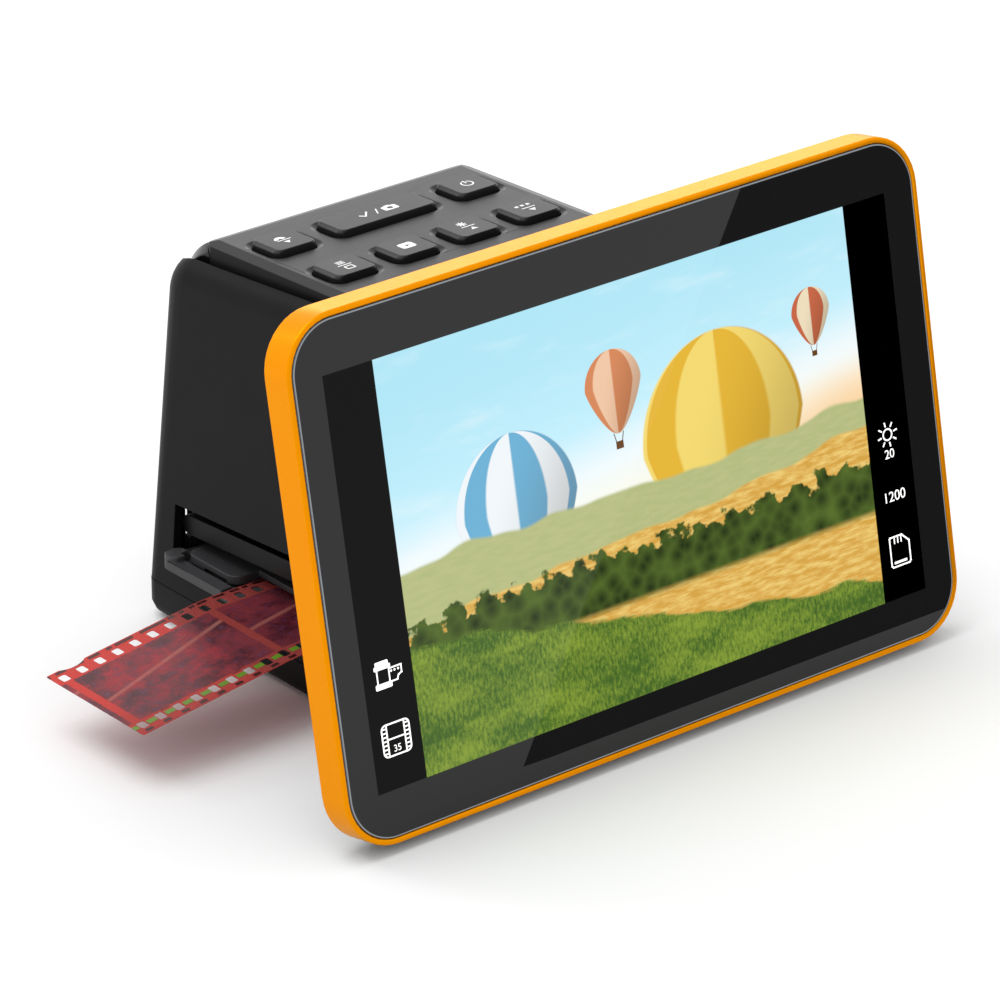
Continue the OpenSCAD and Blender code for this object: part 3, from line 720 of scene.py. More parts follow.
@dataclass(frozen=True)
class CoverGlass:
    """Black-backed cover glass with the lit picture behind its clear middle.

    The display is half its width and height, the picture its left and right end, and the pane
    half its width, half its height and its corner radius.
    """

    name: str = "cover_glass"
    centre: tuple[float, float] = (-0.55, -0.6)
    display: tuple[float, float] = (76.8, 45.0)
    picture: tuple[float, float] = (-64.0, 64.7)
    pane: tuple[float, float, float] = (84.45, 55.65, 10.95)
    blur: float = 0.06
    edge_highlight_width: float = 0.3
    edge_highlight_blur: float = 0.04
    lit_depth: float = 0.15

    def rim(self, x: Wire, y: Wire) -> Wire:
        """Finds the pane's frosted edge, a thin line along its outline whose grey is also a painted
        highlight.

        Args:
            x: Millimetres to the right of the pane's middle.
            y: Millimetres above it.

        Returns:
            One on the edge and zero elsewhere.
        """
        wide, high, corner = self.pane
        aside, above = abs(x) - (wide - corner), abs(y) - (high - corner)
        out_x, out_y = aside.most(0.0), above.most(0.0)
        reach = (out_x * out_x + out_y * out_y) ** 0.5 + aside.most(above).least(0.0) - corner
        return reach.above(-self.edge_highlight_width, self.edge_highlight_blur)

    def material(self) -> bpy.types.Material:
        """Builds the glass.

        Returns:
            The material.
        """
        shader = Shader(self.name)
        here = shader.spot(Place.SCREEN)
        x, y, z = shader.split(here)
        # a thin pale grey line painted round the pane: the frosted edge's grey and a painted highlight
        # on its chamfer
        ground_edge_highlight = self.rim(x, y)
        x, y = x - self.centre[0], y - self.centre[1]
        wide, high = self.display
        tall = abs(y).below(high, self.blur) * (z > -self.lit_depth)
        lit = abs(x).below(wide, self.blur) * tall
        left, right = self.picture
        shown = tall * x.above(left, self.blur) * x.below(right, self.blur)
        smear = shader.noise(shader.stretch(here, (0.05, 0.09, 1.0)), 1.0, 4.0, 0.6)
        picture = Landscape().colours(shader, x - (left + right) / 2, y)
        black = shader.mix(lit, paint("#1d1d1e"), paint("#000000"))
        return shader.surface(
            {
                # the pale grey edge line is partly a painted highlight
                "Base Color": shader.mix(ground_edge_highlight, black, paint("#9aa0a6")),
                "Roughness": 0.3 + smear * 0.1,
                "Specular IOR Level": 0.0,
                "Coat Weight": lit.ramp(0.0, 1.0, 0.8, 0.3),
                "Coat Roughness": 0.0,
                "Emission Color": shader.mix(shown, paint("#000000"), picture),
                "Emission Strength": 1.0,
            }
        )


@dataclass(frozen=True)
class FilmBase:
    """Colour negative film: a clear red-brown base with denser pictures and edge marks.

    A row of marks is its distance from the strip's middle line and half its width.
    """

    name: str = "negative_film"
    middle: float = 11.4
    pitch: float = 38.0
    gap: float = 1.0
    half_picture: float = 12.0
    blur: float = 0.1
    start: float = -95.0
    end: float = -97.2
    perforation: float = 4.75
    green_bars: tuple[float, float] = (-14.1, 0.75)
    front_ticks: tuple[float, float] = (-16.5, 0.5)
    back_ticks: tuple[float, float] = (16.7, 0.45)
    fine_ticks: tuple[float, float] = (-12.35, 0.14)

    def material(self) -> bpy.types.Material:
        """Builds the film.

        Returns:
            The material.
        """
        shader = Shader(self.name)
        here = shader.spot()
        x, y, _ = shader.split(here)
        across = y - self.middle
        along = x - self.start
        frame_x = (along / self.pitch).sum("FRACT", 0.0) * self.pitch
        inside = abs(across).below(self.half_picture, self.blur)
        inside = inside * frame_x.above(self.gap, self.blur)
        inside = inside * frame_x.below(self.pitch - self.gap, self.blur)
        blots = shader.noise(shader.stretch(here, (0.11, 0.16, 1.0)), 1.0, 5.0, 0.6)
        speck = shader.noise(shader.stretch(here, (0.5, 0.6, 1.0)), 1.0, 4.0, 0.7)
        streak = abs(across + 1.0 - frame_x * 0.22).ramp(0.15, 0.9, 1.0, 0.0)
        dense = (blots * 0.65 + speck * 0.35).ramp(0.36, 0.62)
        step = ((x - self.end) / self.perforation).sum("FRACT", 0.0)
        marks = self.marks(shader, step, x - self.end, across)
        bars = self.row(across, self.green_bars) * (abs(step - 0.5) > 0.26)
        picture = shader.mix(dense, paint("#a04652"), paint("#4a1824"))
        picture = shader.mix(speck.ramp(0.5, 0.75) * 0.5, picture, paint("#7a4a70"))
        picture = shader.mix(streak * 0.5, picture, paint("#d08878"))
        edge = shader.mix(blots * 0.4, paint("#e0726c"), paint("#c4524c"))
        edge = shader.mix(marks, edge, paint("#3a0c0e"))
        edge = shader.mix(bars, edge, paint("#66901f"))
        colour = shader.mix(inside, edge, picture)
        share = (inside * (0.5 + dense * 0.38)).most(0.32).most(marks * 0.9).most(bars * 0.9)
        shade = shader.node("ShaderNodeLightPath", output="Is Shadow Ray")
        share = share.most(shade * 0.8)
        body = shader.principled(
            {
                "Base Color": colour,
                "Roughness": 0.2 + speck * 0.1,
                "Specular IOR Level": 0.45,
                "Normal": shader.bump(blots, 0.02),
            }
        )
        clear = shader.node("ShaderNodeBsdfTransparent", None, {0: paint("#f07c74")})
        return shader.finish(shader.node("ShaderNodeMixShader", None, {0: share, 1: clear, 2: body}))

    def marks(self, shader: Shader, step: Wire, run: Wire, across: Wire) -> Wire:
        """Draws plain ticks outside the rows of holes, long ones along the back edge.

        Args:
            shader: The shader that they belong to.
            step: Share of the way from one hole to the next.
            run: Millimetres from the strip's end.
            across: Millimetres from the strip's middle line.

        Returns:
            One on a tick and zero elsewhere.
        """
        outer = self.row(across, self.front_ticks) * (abs(step - 0.5) < 0.2)
        broken = shader.noise(shader.join(run, 0.0), 0.45, 1.0, 0.2) > 0.47
        back = self.row(across, self.back_ticks) * broken
        slow = (run / (self.perforation * 4)).sum("FRACT", 0.0)
        fine = self.row(across, self.fine_ticks) * (abs(slow - 0.5) < 0.06)
        return outer.most(back).most(fine)

    @staticmethod
    def row(across: Wire, line: tuple[float, float]) -> Wire:
        """Gives one within a row that runs along the strip."""
        middle, half = line
        return abs(across - middle) < half


# ---- shapes ----


class Form:
    """A mesh in a plane's millimetres that grows into one piece."""

    def __init__(self) -> None:
        """Starts with nothing."""
        self.mesh = bmesh.new()

    def loop(
        self, width: float, height: float, corner: float, z: float
    ) -> list[bmesh.types.BMEdge]:
        """Adds a rounded rectangle of edges round the plane's middle.

        Args:
            width: Its width.
            height: Its height.
            corner: Its corner radius.
            z: Its height over the plane.

        Returns:
            Its edges.
        """
        face = self.flat(width, height, corner, z)
        edges = list(face.edges)
        bmesh.ops.delete(self.mesh, geom=[face], context="FACES_ONLY")
        return edges

    def flat(
        self,
        width: float,
        height: float,
        corner: float,
        z: float,
        at: Sequence[float] = (0.0, 0.0),
        steps: int = 10,
        turn: float = 0.0,
    ) -> bmesh.types.BMFace:
        """Adds a rounded rectangle as one face.

        Args:
            width: Its width.
            height: Its height.
            corner: Its corner radius, or zero.
            z: Its height over the plane.
            at: Its middle.
            steps: Faces round each corner.
            turn: Its turn in degrees.

        Returns:
            The face.
        """
        place = Matrix.Translation((at[0], at[1], z)) @ Matrix.Rotation(math.radians(turn), 4, "Z")
        place = place @ Matrix.Diagonal((width, height, 1.0, 1.0))
        verts = bmesh.ops.create_grid(self.mesh, x_segments=1, y_segments=1, size=0.5, matrix=place)
        verts = verts["verts"]
        if corner > 0:
            made = bmesh.ops.bevel(
                self.mesh,
                geom=verts,
                offset=corner,
                offset_type="OFFSET",
                segments=steps,
                profile=0.5,
                affect="VERTICES",
                material=-1,
            )
            verts = made["verts"]
        return verts[0].link_faces[0]

    def raise_face(self, face: bmesh.types.BMFace, height: float) -> bmesh.types.BMFace:
        """Extrudes a lone face into a closed plate.

        Args:
            face: The face, which stays as the underside.
            height: How high the plate gets.

        Returns:
            Its top face.
        """
        made = bmesh.ops.extrude_face_region(self.mesh, geom=[face])["geom"]
        verts = [e for e in made if isinstance(e, bmesh.types.BMVert)]
        bmesh.ops.translate(self.mesh, vec=(0.0, 0.0, height), verts=verts)
        return next(e for e in made if isinstance(e, bmesh.types.BMFace))

    def plate(
        self,
        width: float,
        height: float,
        corner: float,
        low: float,
        high: float,
        at: Sequence[float] = (0.0, 0.0),
        steps: int = 10,
        turn: float = 0.0,
    ) -> bmesh.types.BMFace:
        """Adds a rounded plate between two heights.

        Args:
            width: Its width.
            height: Its height.
            corner: Its corner radius, or zero.
            low: Its underside.
            high: Its top.
            at: Its middle.
            steps: Faces round each corner.
            turn: Its turn in degrees.

        Returns:
            Its top face.
        """
        face = self.flat(width, height, corner, low, at, steps, turn)
        return self.raise_face(face, high - low)

    def stack(self, loops: Sequence[tuple[float, float, float, float]], closed: bool = True) -> None:
        """Bridges rounded rectangles of width, height, corner and z into one skin.

        Args:
            loops: The rectangles, in order along the section.
            closed: Whether the last one joins the first.
        """
        rows = [self.loop(*one) for one in loops]
        pairs = list(zip(rows, rows[1:])) + ([(rows[-1], rows[0])] if closed else [])
        for first, second in pairs:
            bmesh.ops.bridge_loops(self.mesh, edges=first + second)
        if not closed:
            for row in (rows[0], rows[-1]):
                bmesh.ops.contextual_create(self.mesh, geom=row)

    def disc(
        self, radius: float, low: float, high: float, at: Sequence[float], steps: int = 32
    ) -> None:
        """Adds a round plate.

        Args:
            radius: Its radius.
            low: Its underside.
            high: Its top.
            at: Its middle.
            steps: Faces round it.
        """
        place = Matrix.Translation((at[0], at[1], low))
        made = bmesh.ops.create_circle(
            self.mesh, cap_ends=True, segments=steps, radius=radius, matrix=place
        )
        self.raise_face(made["verts"][0].link_faces[0], high - low)

    def arc(
        self,
        radius: float,
        width: float,
        low: float,
        high: float,
        at: Sequence[float],
        angles: tuple[float, float] = (0.0, 360.0),
        steps: int = 32,
    ) -> None:
        """Adds a ring or a part of one.

        Args:
            radius: Radius of its middle line.
            width: Its width.
            low: Its underside.
            high: Its top.
            at: Its middle.
            angles: Where it starts and ends, in degrees.
            steps: Faces along it.
        """
        start, end = (math.radians(a) for a in angles)
        ends = []
        for reach in (radius - width / 2, radius + width / 2):
            spot = (at[0] + reach * math.cos(start), at[1] + reach * math.sin(start), low)
            ends.append(bmesh.ops.create_vert(self.mesh, co=spot)["vert"][0])
        edge = self.mesh.edges.new(ends)
        bmesh.ops.spin(
            self.mesh,
            geom=[*ends, edge],
            cent=(at[0], at[1], low),
            axis=(0.0, 0.0, 1.0),
            angle=end - start,
            steps=steps,
            use_merge=angles[1] - angles[0] >= 360,
        )
        bmesh.ops.remove_doubles(self.mesh, verts=self.mesh.verts, dist=1e-4)
        faces = [f for f in self.mesh.faces if self.is_at(f, low) and self.is_loose(f)]
        made = bmesh.ops.extrude_face_region(self.mesh, geom=faces)["geom"]
        verts = [e for e in made if isinstance(e, bmesh.types.BMVert)]
        bmesh.ops.translate(self.mesh, vec=(0.0, 0.0, high - low), verts=verts)

    @staticmethod
    def is_at(face: bmesh.types.BMFace, low: float) -> bool:
        """Tells whether a face lies at a height."""
        return all(abs(v.co.z - low) < 1e-5 for v in face.verts)

    @staticmethod
    def is_loose(face: bmesh.types.BMFace) -> bool:
        """Tells whether a face still has an open edge."""
        return any(e.is_boundary for e in face.edges)

    def words(self, text: str, size: float, low: float, high: float, at: Sequence[float]) -> None:
        """Adds plain digits as a raised mesh.

        Args:
            text: The digits.
            size: Their size.
            low: Their underside.
            high: Their top.
            at: Their middle.
        """
        curve = bpy.data.curves.new("digits", "FONT")
        curve.body = text
        curve.size = size
        curve.align_x = "CENTER"
        curve.align_y = "CENTER"
        curve.extrude = (high - low) / 2
        shown = bpy.data.objects.new("digits", curve)
        bpy.context.scene.collection.objects.link(shown)
        bpy.context.view_layer.update()
        mesh = bpy.data.meshes.new_from_object(shown)
        mesh.transform(Matrix.Translation((at[0], at[1], (low + high) / 2)))
        self.mesh.from_mesh(mesh)
        bpy.data.objects.remove(shown)
        bpy.data.meshes.remove(mesh)

    def take(self, other: Form, by: Sequence[float] = (0.0, 0.0, 0.0)) -> None:
        """Adds another form.

        Args:
            other: The form, which is freed.
            by: How far it is moved first.
        """
        bmesh.ops.translate(other.mesh, vec=by, verts=other.mesh.verts)
        data = bpy.data.meshes.new("taken")
        other.mesh.to_mesh(data)
        other.mesh.free()
        self.mesh.from_mesh(data)
        bpy.data.meshes.remove(data)

    def subtract(self, cutter: Form) -> None:
        """Takes another form away from this one.

        Args:
            cutter: The form that is cut out.
        """
        made = []
        for form in (self, cutter):
            form.settle()
            data = bpy.data.meshes.new("cut")
            form.mesh.to_mesh(data)
            one = bpy.data.objects.new("cut", data)
            bpy.context.scene.collection.objects.link(one)
            made.append(one)
        step = made[0].modifiers.new("cut", "BOOLEAN")
        step.operation = "DIFFERENCE"
        step.solver = "EXACT"
        step.object = made[1]
        shown = made[0].evaluated_get(bpy.context.evaluated_depsgraph_get())
        self.mesh.clear()
        self.mesh.from_mesh(shown.to_mesh())
        shown.to_mesh_clear()
        for one in made:
            data = one.data
            bpy.data.objects.remove(one)
            bpy.data.meshes.remove(data)

    def settle(self) -> None:
        """Merges doubles and turns the faces outwards."""
        bmesh.ops.remove_doubles(self.mesh, verts=self.mesh.verts, dist=1e-4)
        bmesh.ops.recalc_face_normals(self.mesh, faces=self.mesh.faces)

    def piece(
        self,
        name: str,
        body: str,
        material: bpy.types.Material,
        slot: Slot,
        place: Place = Place.WORLD,
        replaces: Iterable[str] = (),
        rounding: float = 0.0,
        segments: int = 3,
    ) -> bpy.types.Object:
        """Makes the form a piece of the object.

        Args:
            name: The piece's name.
            body: The body that carries it.
            material: Its finish.
            slot: The record's slot for that finish; not used.
            place: The plane it was drawn on.
            replaces: The nodes it stands for.
            rounding: Radius of its edges in millimetres.
            segments: Steps of that rounding.

        Returns:
            The new object.
        """
        self.settle()
        bmesh.ops.transform(
            self.mesh, matrix=Matrix.Scale(MM, 4) @ place.matrix(), verts=self.mesh.verts
        )
        return dress(name, self.mesh, body, material, replaces, rounding, segments)


def dress(
    name: str,
    mesh: bmesh.types.BMesh,
    body: str,
    material: bpy.types.Material,
    replaces: Iterable[str] = (),
    rounding: float = 0.0,
    segments: int = 3,
    crease: float = 32.0,
) -> bpy.types.Object:
    """Turns a finished bmesh in metres into a piece.

    Args:
        name: The piece's name.
        mesh: The bmesh, which is freed.
        body: The body that carries it.
        material: Its finish.
        replaces: The nodes it stands for.
        rounding: Radius of its edges in millimetres.
        segments: Steps of that rounding.
        crease: Angle in degrees over which an edge counts as one.

    Returns:
        The new object.
    """
    sharp = math.radians(crease)
    for face in mesh.faces:
        face.smooth = True
    for edge in mesh.edges:
        edge.smooth = rounding > 0 or edge.calc_face_angle(0.0) < sharp
    data = bpy.data.meshes.new(name)
    mesh.to_mesh(data)
    mesh.free()
    data.materials.append(material)
    made = bpy.data.objects.new(name, data)
    bpy.context.scene.collection.objects.link(made)
    if rounding > 0:
        step = made.modifiers.new("rounding", "BEVEL")
        step.width = rounding * MM
        step.segments = segments
        step.limit_method = "ANGLE"
        step.angle_limit = sharp
        step.use_clamp_overlap = False
        step.harden_normals = False
        weigh = made.modifiers.new("shading", "WEIGHTED_NORMAL")
        weigh.mode = "FACE_AREA"
        weigh.keep_sharp = True
    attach(made, body)
    if replaces:
        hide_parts(*replaces)
    log.info("%s on %s: %d faces", name, body, len(data.polygons))
    return made


def rounded_copy(
    node: str,
    body: str,
    material: bpy.types.Material,
    rounding: float,
    crease: float = 32.0,
) -> bpy.types.Object:
    """Copies a node's solid, merges it and rounds its edges.

    Args:
        node: The node's name.
        body: The body that carries it.
        material: Its finish.
        rounding: Radius of its edges in millimetres.
        crease: Angle in degrees over which an edge is rounded.

    Returns:
        The new object.
    """
    mesh = bmesh.new()
    mesh.from_mesh(frame["nodes"][node].data)
    bmesh.ops.remove_doubles(mesh, verts=mesh.verts, dist=2e-6)
    return dress(f"{node}_shell", mesh, body, material, (node,), rounding, crease=crease)


# ---- sub-assemblies ----


@dataclass
class Screen:
    """The wide screen: an orange frame round a black glass.

    The opening is its width, height and corner radius, and the ink its underside and top.
    """

    width: float = 172.0
    height: float = 114.4
    depth: float = 8.0
    corner: float = 12.5
    rim: float = 1.3
    gap: float = 0.25
    glass: float = 1.0
    bed: float = 0.1
    wall: float = 1.6
    opening: tuple[float, float, float] = (165.5, 100.6, 1.0)
    ink: tuple[float, float] = (0.01, 0.05)
    frame_rounding: float = 0.4
    glass_rounding: float = 0.12

    def inset(self, by: float, z: float) -> tuple[float, float, float, float]:
        """Gives the rectangle that lies inside the frame's outline by a distance."""
        return self.width - 2 * by, self.height - 2 * by, max(self.corner - by, 0.5), z

    def build(self) -> None:
        """Builds the frame, the glass and the signs."""
        ring = Form()
        back = -self.depth
        ledge = -self.glass - self.bed
        ring.stack(
            [
                self.inset(0.0, back),
                self.inset(0.0, 0.0),
                self.inset(self.rim, 0.0),
                self.inset(self.rim, ledge),
                (*self.opening, ledge),
                (*self.opening, back + self.wall),
                self.inset(self.wall, back + self.wall),
                self.inset(self.wall, back),
            ]
        )
        orange = Lacquer().material()
        ring.piece(
            "orange_frame",
            "scanner",
            orange,
            Slot.ORANGE,
            Place.SCREEN,
            ("screen_frame",),
            self.frame_rounding,
            4,
        )
        pane = Form()
        edge = self.rim + self.gap
        pane.plate(*self.inset(edge, 0.0)[:3], -self.glass, 0.0, steps=16)
        pane.piece(
            "front_glass",
            "scanner",
            CoverGlass().material(),
            Slot.GLASS,
            Place.SCREEN,
            ("cover_glass",),
            self.glass_rounding,
            2,
        )
        self.signs()

    def signs(self) -> None:
        """Draws the status signs beside the picture."""
        ink = Ink(glow=0.8).material()
        canister = SignMaker(self.ink, (-72.25, -20.8))
        canister.canister()
        strip = SignMaker(self.ink, (-70.93, -34.95))
        strip.film_frame()
        sun = SignMaker(self.ink, (69.96, -8.48))
        sun.sun(1.25, 1.8, 2.9, 0.36)
        level = SignMaker(self.ink, (69.98, -12.96))
        level.form.words("20", 2.9, *self.ink, (level.x, level.y))
        count = SignMaker(self.ink, (70.1, -22.6))
        count.form.words("1200", 3.3, *self.ink, (count.x, count.y))
        card = SignMaker(self.ink, (70.1, -35.0))
        card.card()
        named = {
            "sign_canister": canister,
            "sign_film_frame": strip,
            "sign_sun": sun,
            "sign_level": level,
            "sign_count": count,
            "sign_card": card,
        }
        for name, maker in named.items():
            maker.form.piece(name, "scanner", ink, Slot.INK, Place.SCREEN)


class Mark(Enum):
    """What is printed on each button."""

    TURN = "turn"
    OK = "ok"
    POWER = "power"
    MENU = "menu"
    PLAY = "play"
    UP = "up_arrow"
    DOWN = "down_arrow"


class SignMaker:
    """Draws small signs of bars, rings and plates round one middle."""

    def __init__(self, ink: tuple[float, float], at: tuple[float, float]) -> None:
        """Starts a sign.

        Args:
            ink: Underside and top of the ink over the plane.
            at: The sign's middle.
        """
        self.form = Form()
        self.low, self.high = ink
        self.x, self.y = at

    def bar(self, x: float, y: float, length: float, width: float, turn: float = 0.0) -> None:
        """Draws a bar round a point.

        Args:
            x: The point's place to the right of the sign's middle.
            y: Its place above it.
            length: The bar's length.
            width: Its width.
            turn: Its turn in degrees.
        """
        at = (self.x + x, self.y + y)
        self.form.plate(length, width, 0.0, self.low, self.high, at, turn=turn)

    def line(self, points: Sequence[tuple[float, float]], width: float) -> None:
        """Draws bars from point to point.

        Args:
            points: The points, from the sign's middle.
            width: The bars' width.
        """
        for (ax, ay), (bx, by) in zip(points, points[1:]):
            length = math.hypot(bx - ax, by - ay) + width * 0.9
            turn = math.degrees(math.atan2(by - ay, bx - ax))
            self.bar((ax + bx) / 2, (ay + by) / 2, length, width, turn)

    def box(self, x: float, y: float, w: float, h: float, r: float, line: float) -> None:
        """Draws a rounded outline.

        Args:
            x: Its middle's place to the right of the sign's middle.
            y: Its place above it.
            w: Its width.
            h: Its height.
            r: Its corner radius.
            line: The width of its line.
        """
        outer = (w, h, r)
        inner = (w - 2 * line, h - 2 * line, max(r - line, 0.05))
        ring = Form()
        ring.stack([(*outer, self.low), (*outer, self.high), (*inner, self.high), (*inner, self.low)])
        self.form.take(ring, (self.x + x, self.y + y, 0.0))

    def dot(self, x: float, y: float, radius: float, steps: int = 24) -> None:
        """Draws a disc."""
        self.form.disc(radius, self.low, self.high, (self.x + x, self.y + y), steps)

    def ring(
        self, x: float, y: float, radius: float, line: float, angles: tuple[float, float] = (0.0, 360.0)
    ) -> None:
        """Draws a ring or a part of one."""
        self.form.arc(radius, line, self.low, self.high, (self.x + x, self.y + y), angles)

    def arrow(self, x: float, y: float, base: float, height: float, turn: float) -> None:
        """Draws a filled triangle that points up at no turn.

        Args:
            x: Its middle's place to the right of the sign's middle.
            y: Its place above it.
            base: Its width.
            height: Its height.
            turn: Its turn in degrees.
        """
        place = Matrix.Translation((self.x + x, self.y + y, self.low))
        place = place @ Matrix.Rotation(math.radians(turn), 4, "Z")
        place = place @ Matrix.Diagonal((base / math.sqrt(3), height / 1.5, 1.0, 1.0))
        made = bmesh.ops.create_circle(
            self.form.mesh, cap_ends=True, segments=3, radius=1.0, matrix=place
        )
        self.form.raise_face(made["verts"][0].link_faces[0], self.high - self.low)

    def holed(self, x: float, y: float, w: float, h: float, r: float, cutter: SignMaker) -> None:
        """Draws a rounded plate with another sign cut out of it.

        Args:
            x: The plate's place to the right of the sign's middle.
            y: Its place above it.
            w: Its width.
            h: Its height.
            r: Its corner radius.
            cutter: The sign that is cut out.
        """
        plate = Form()
        plate.plate(w, h, r, self.low, self.high, (self.x + x, self.y + y))
        plate.subtract(cutter.form)
        self.form.take(plate)

    def cutter(self) -> SignMaker:
        """Starts a sign that cuts through this one."""
        return SignMaker((self.low - 1.0, self.high + 1.0), (self.x, self.y))

    def sun(self, radius: float, inner: float, outer: float, line: float) -> None:
        """Draws a sun with eight rays.

        Args:
            radius: Radius of its ring.
            inner: Where its rays begin.
            outer: Where they end.
            line: The width of its lines.
        """
        self.ring(0.0, 0.0, radius, line)
        reach = (inner + outer) / 2
        for turn in range(12, 372, 45):
            way = math.radians(turn)
            self.bar(reach * math.cos(way), reach * math.sin(way), outer - inner, line, turn)

    def canister(self) -> None:
        """Draws a film canister with its leader."""
        self.box(-0.07, 2.4, 3.4, 1.15, 0.3, 0.3)
        self.box(-0.03, 1.6, 4.3, 0.95, 0.3, 0.28)
        self.line([(-1.5, 1.3), (-1.5, -1.95)], 0.34)
        self.line([(1.62, 1.3), (1.62, -1.95)], 0.34)
        self.box(-0.02, -2.4, 4.3, 1.25, 0.3, 0.3)
        leader = [(1.8, 0.92), (4.83, 0.95), (4.8, -0.67)]
        leader += [(3.92, -1.08), (3.55, -1.94), (1.8, -1.96)]
        self.line(leader, 0.34)
        for x in (2.21, 3.08, 4.02):
            self.dot(x, 0.27, 0.26)

    def film_frame(self) -> None:
        """Draws a short piece of film with a plain number in it."""
        self.box(0.0, 0.0, 7.5, 7.25, 1.3, 0.36)
        for side in (-1, 1):
            self.line([(side * 2.28, 3.4), (side * 2.28, -3.4)], 0.34)
            for i in range(7):
                self.bar(side * 2.92, -2.67 + i * 0.89, 1.2, 0.32)
        self.line([(-2.2, 0.2), (2.2, 0.2)], 0.34)
        self.form.words("35", 2.1, self.low, self.high, (self.x, self.y - 2.1))

    def card(self) -> None:
        """Draws a memory card."""
        outline = [(-2.6, 3.42), (0.8, 3.42), (2.8, 1.6), (2.8, -3.0), (2.4, -3.4), (-2.4, -3.4)]
        outline += [(-2.78, -3.0), (-2.78, 3.2), (-2.6, 3.42)]
        self.line(outline, 0.36)
        for x in (-1.4, -0.4, 0.55):
            self.bar(x, 2.48, 0.32, 1.35)
        self.bar(-0.1, -2.5, 3.73, 0.55)

    def mark(self, mark: Mark) -> None:
        """Draws a button's mark."""
        getattr(self, f"mark_{mark.value}")()

    def rule(self) -> None:
        """Draws the short line that parts two marks."""
        self.bar(0.0, 0.0, 3.6, 0.3)

    def mark_turn(self) -> None:
        """Draws half a ring, a bar and a triangle that points down."""
        self.ring(-0.53, 0.6, 0.95, 1.0, (0.0, 180.0))
        self.rule()
        self.arrow(0.0, -1.33, 1.7, 1.3, 180.0)

    def mark_ok(self) -> None:
        """Draws a tick, a slash and a small camera."""
        self.line([(-4.6, 0.1), (-3.7, -0.9), (-2.0, 1.2)], 0.42)
        self.line([(-0.6, -1.2), (0.6, 1.2)], 0.32)
        lens = self.cutter()
        lens.dot(3.6, -0.15, 0.72)
        self.holed(3.6, -0.15, 3.8, 2.4, 0.45, lens)
        self.bar(3.6, 1.2, 1.4, 0.5)

    def mark_power(self) -> None:
        """Draws an open ring with a bar."""
        self.ring(0.0, 0.0, 1.38, 0.34, (115.0, 425.0))
        self.bar(0.0, 1.05, 0.34, 1.6)

    def mark_menu(self) -> None:
        """Draws lines, a bar and a small frame."""
        for y in (0.95, 1.55, 2.15):
            self.bar(-0.1, y, 2.0, 0.3)
        self.rule()
        self.box(0.1, -1.75, 2.3, 1.9, 0.35, 0.32)

    def mark_play(self) -> None:
        """Draws a rounded plate with a triangle cut out of it."""
        hole = self.cutter()
        hole.arrow(0.0, 0.0, 1.3, 1.1, -90.0)
        self.holed(0.0, 0.0, 3.7, 3.0, 0.7, hole)

    def mark_up_arrow(self) -> None:
        """Draws a star, a bar and a triangle that points up."""
        for turn in (0.0, 45.0, 90.0, 135.0):
            self.bar(-0.45, 1.8, 2.4, 0.3, turn)
        self.dot(-0.45, 1.8, 0.6)
        self.rule()
        self.arrow(0.25, -1.75, 1.8, 1.33, 0.0)

    def mark_down_arrow(self) -> None:
        """Draws three dots, a bar and a triangle that points down."""
        for x in (-1.95, -0.41, 1.13):
            self.bar(x, 1.72, 0.85, 0.8)
        self.rule()
        self.arrow(0.1, -1.5, 1.8, 1.33, 180.0)


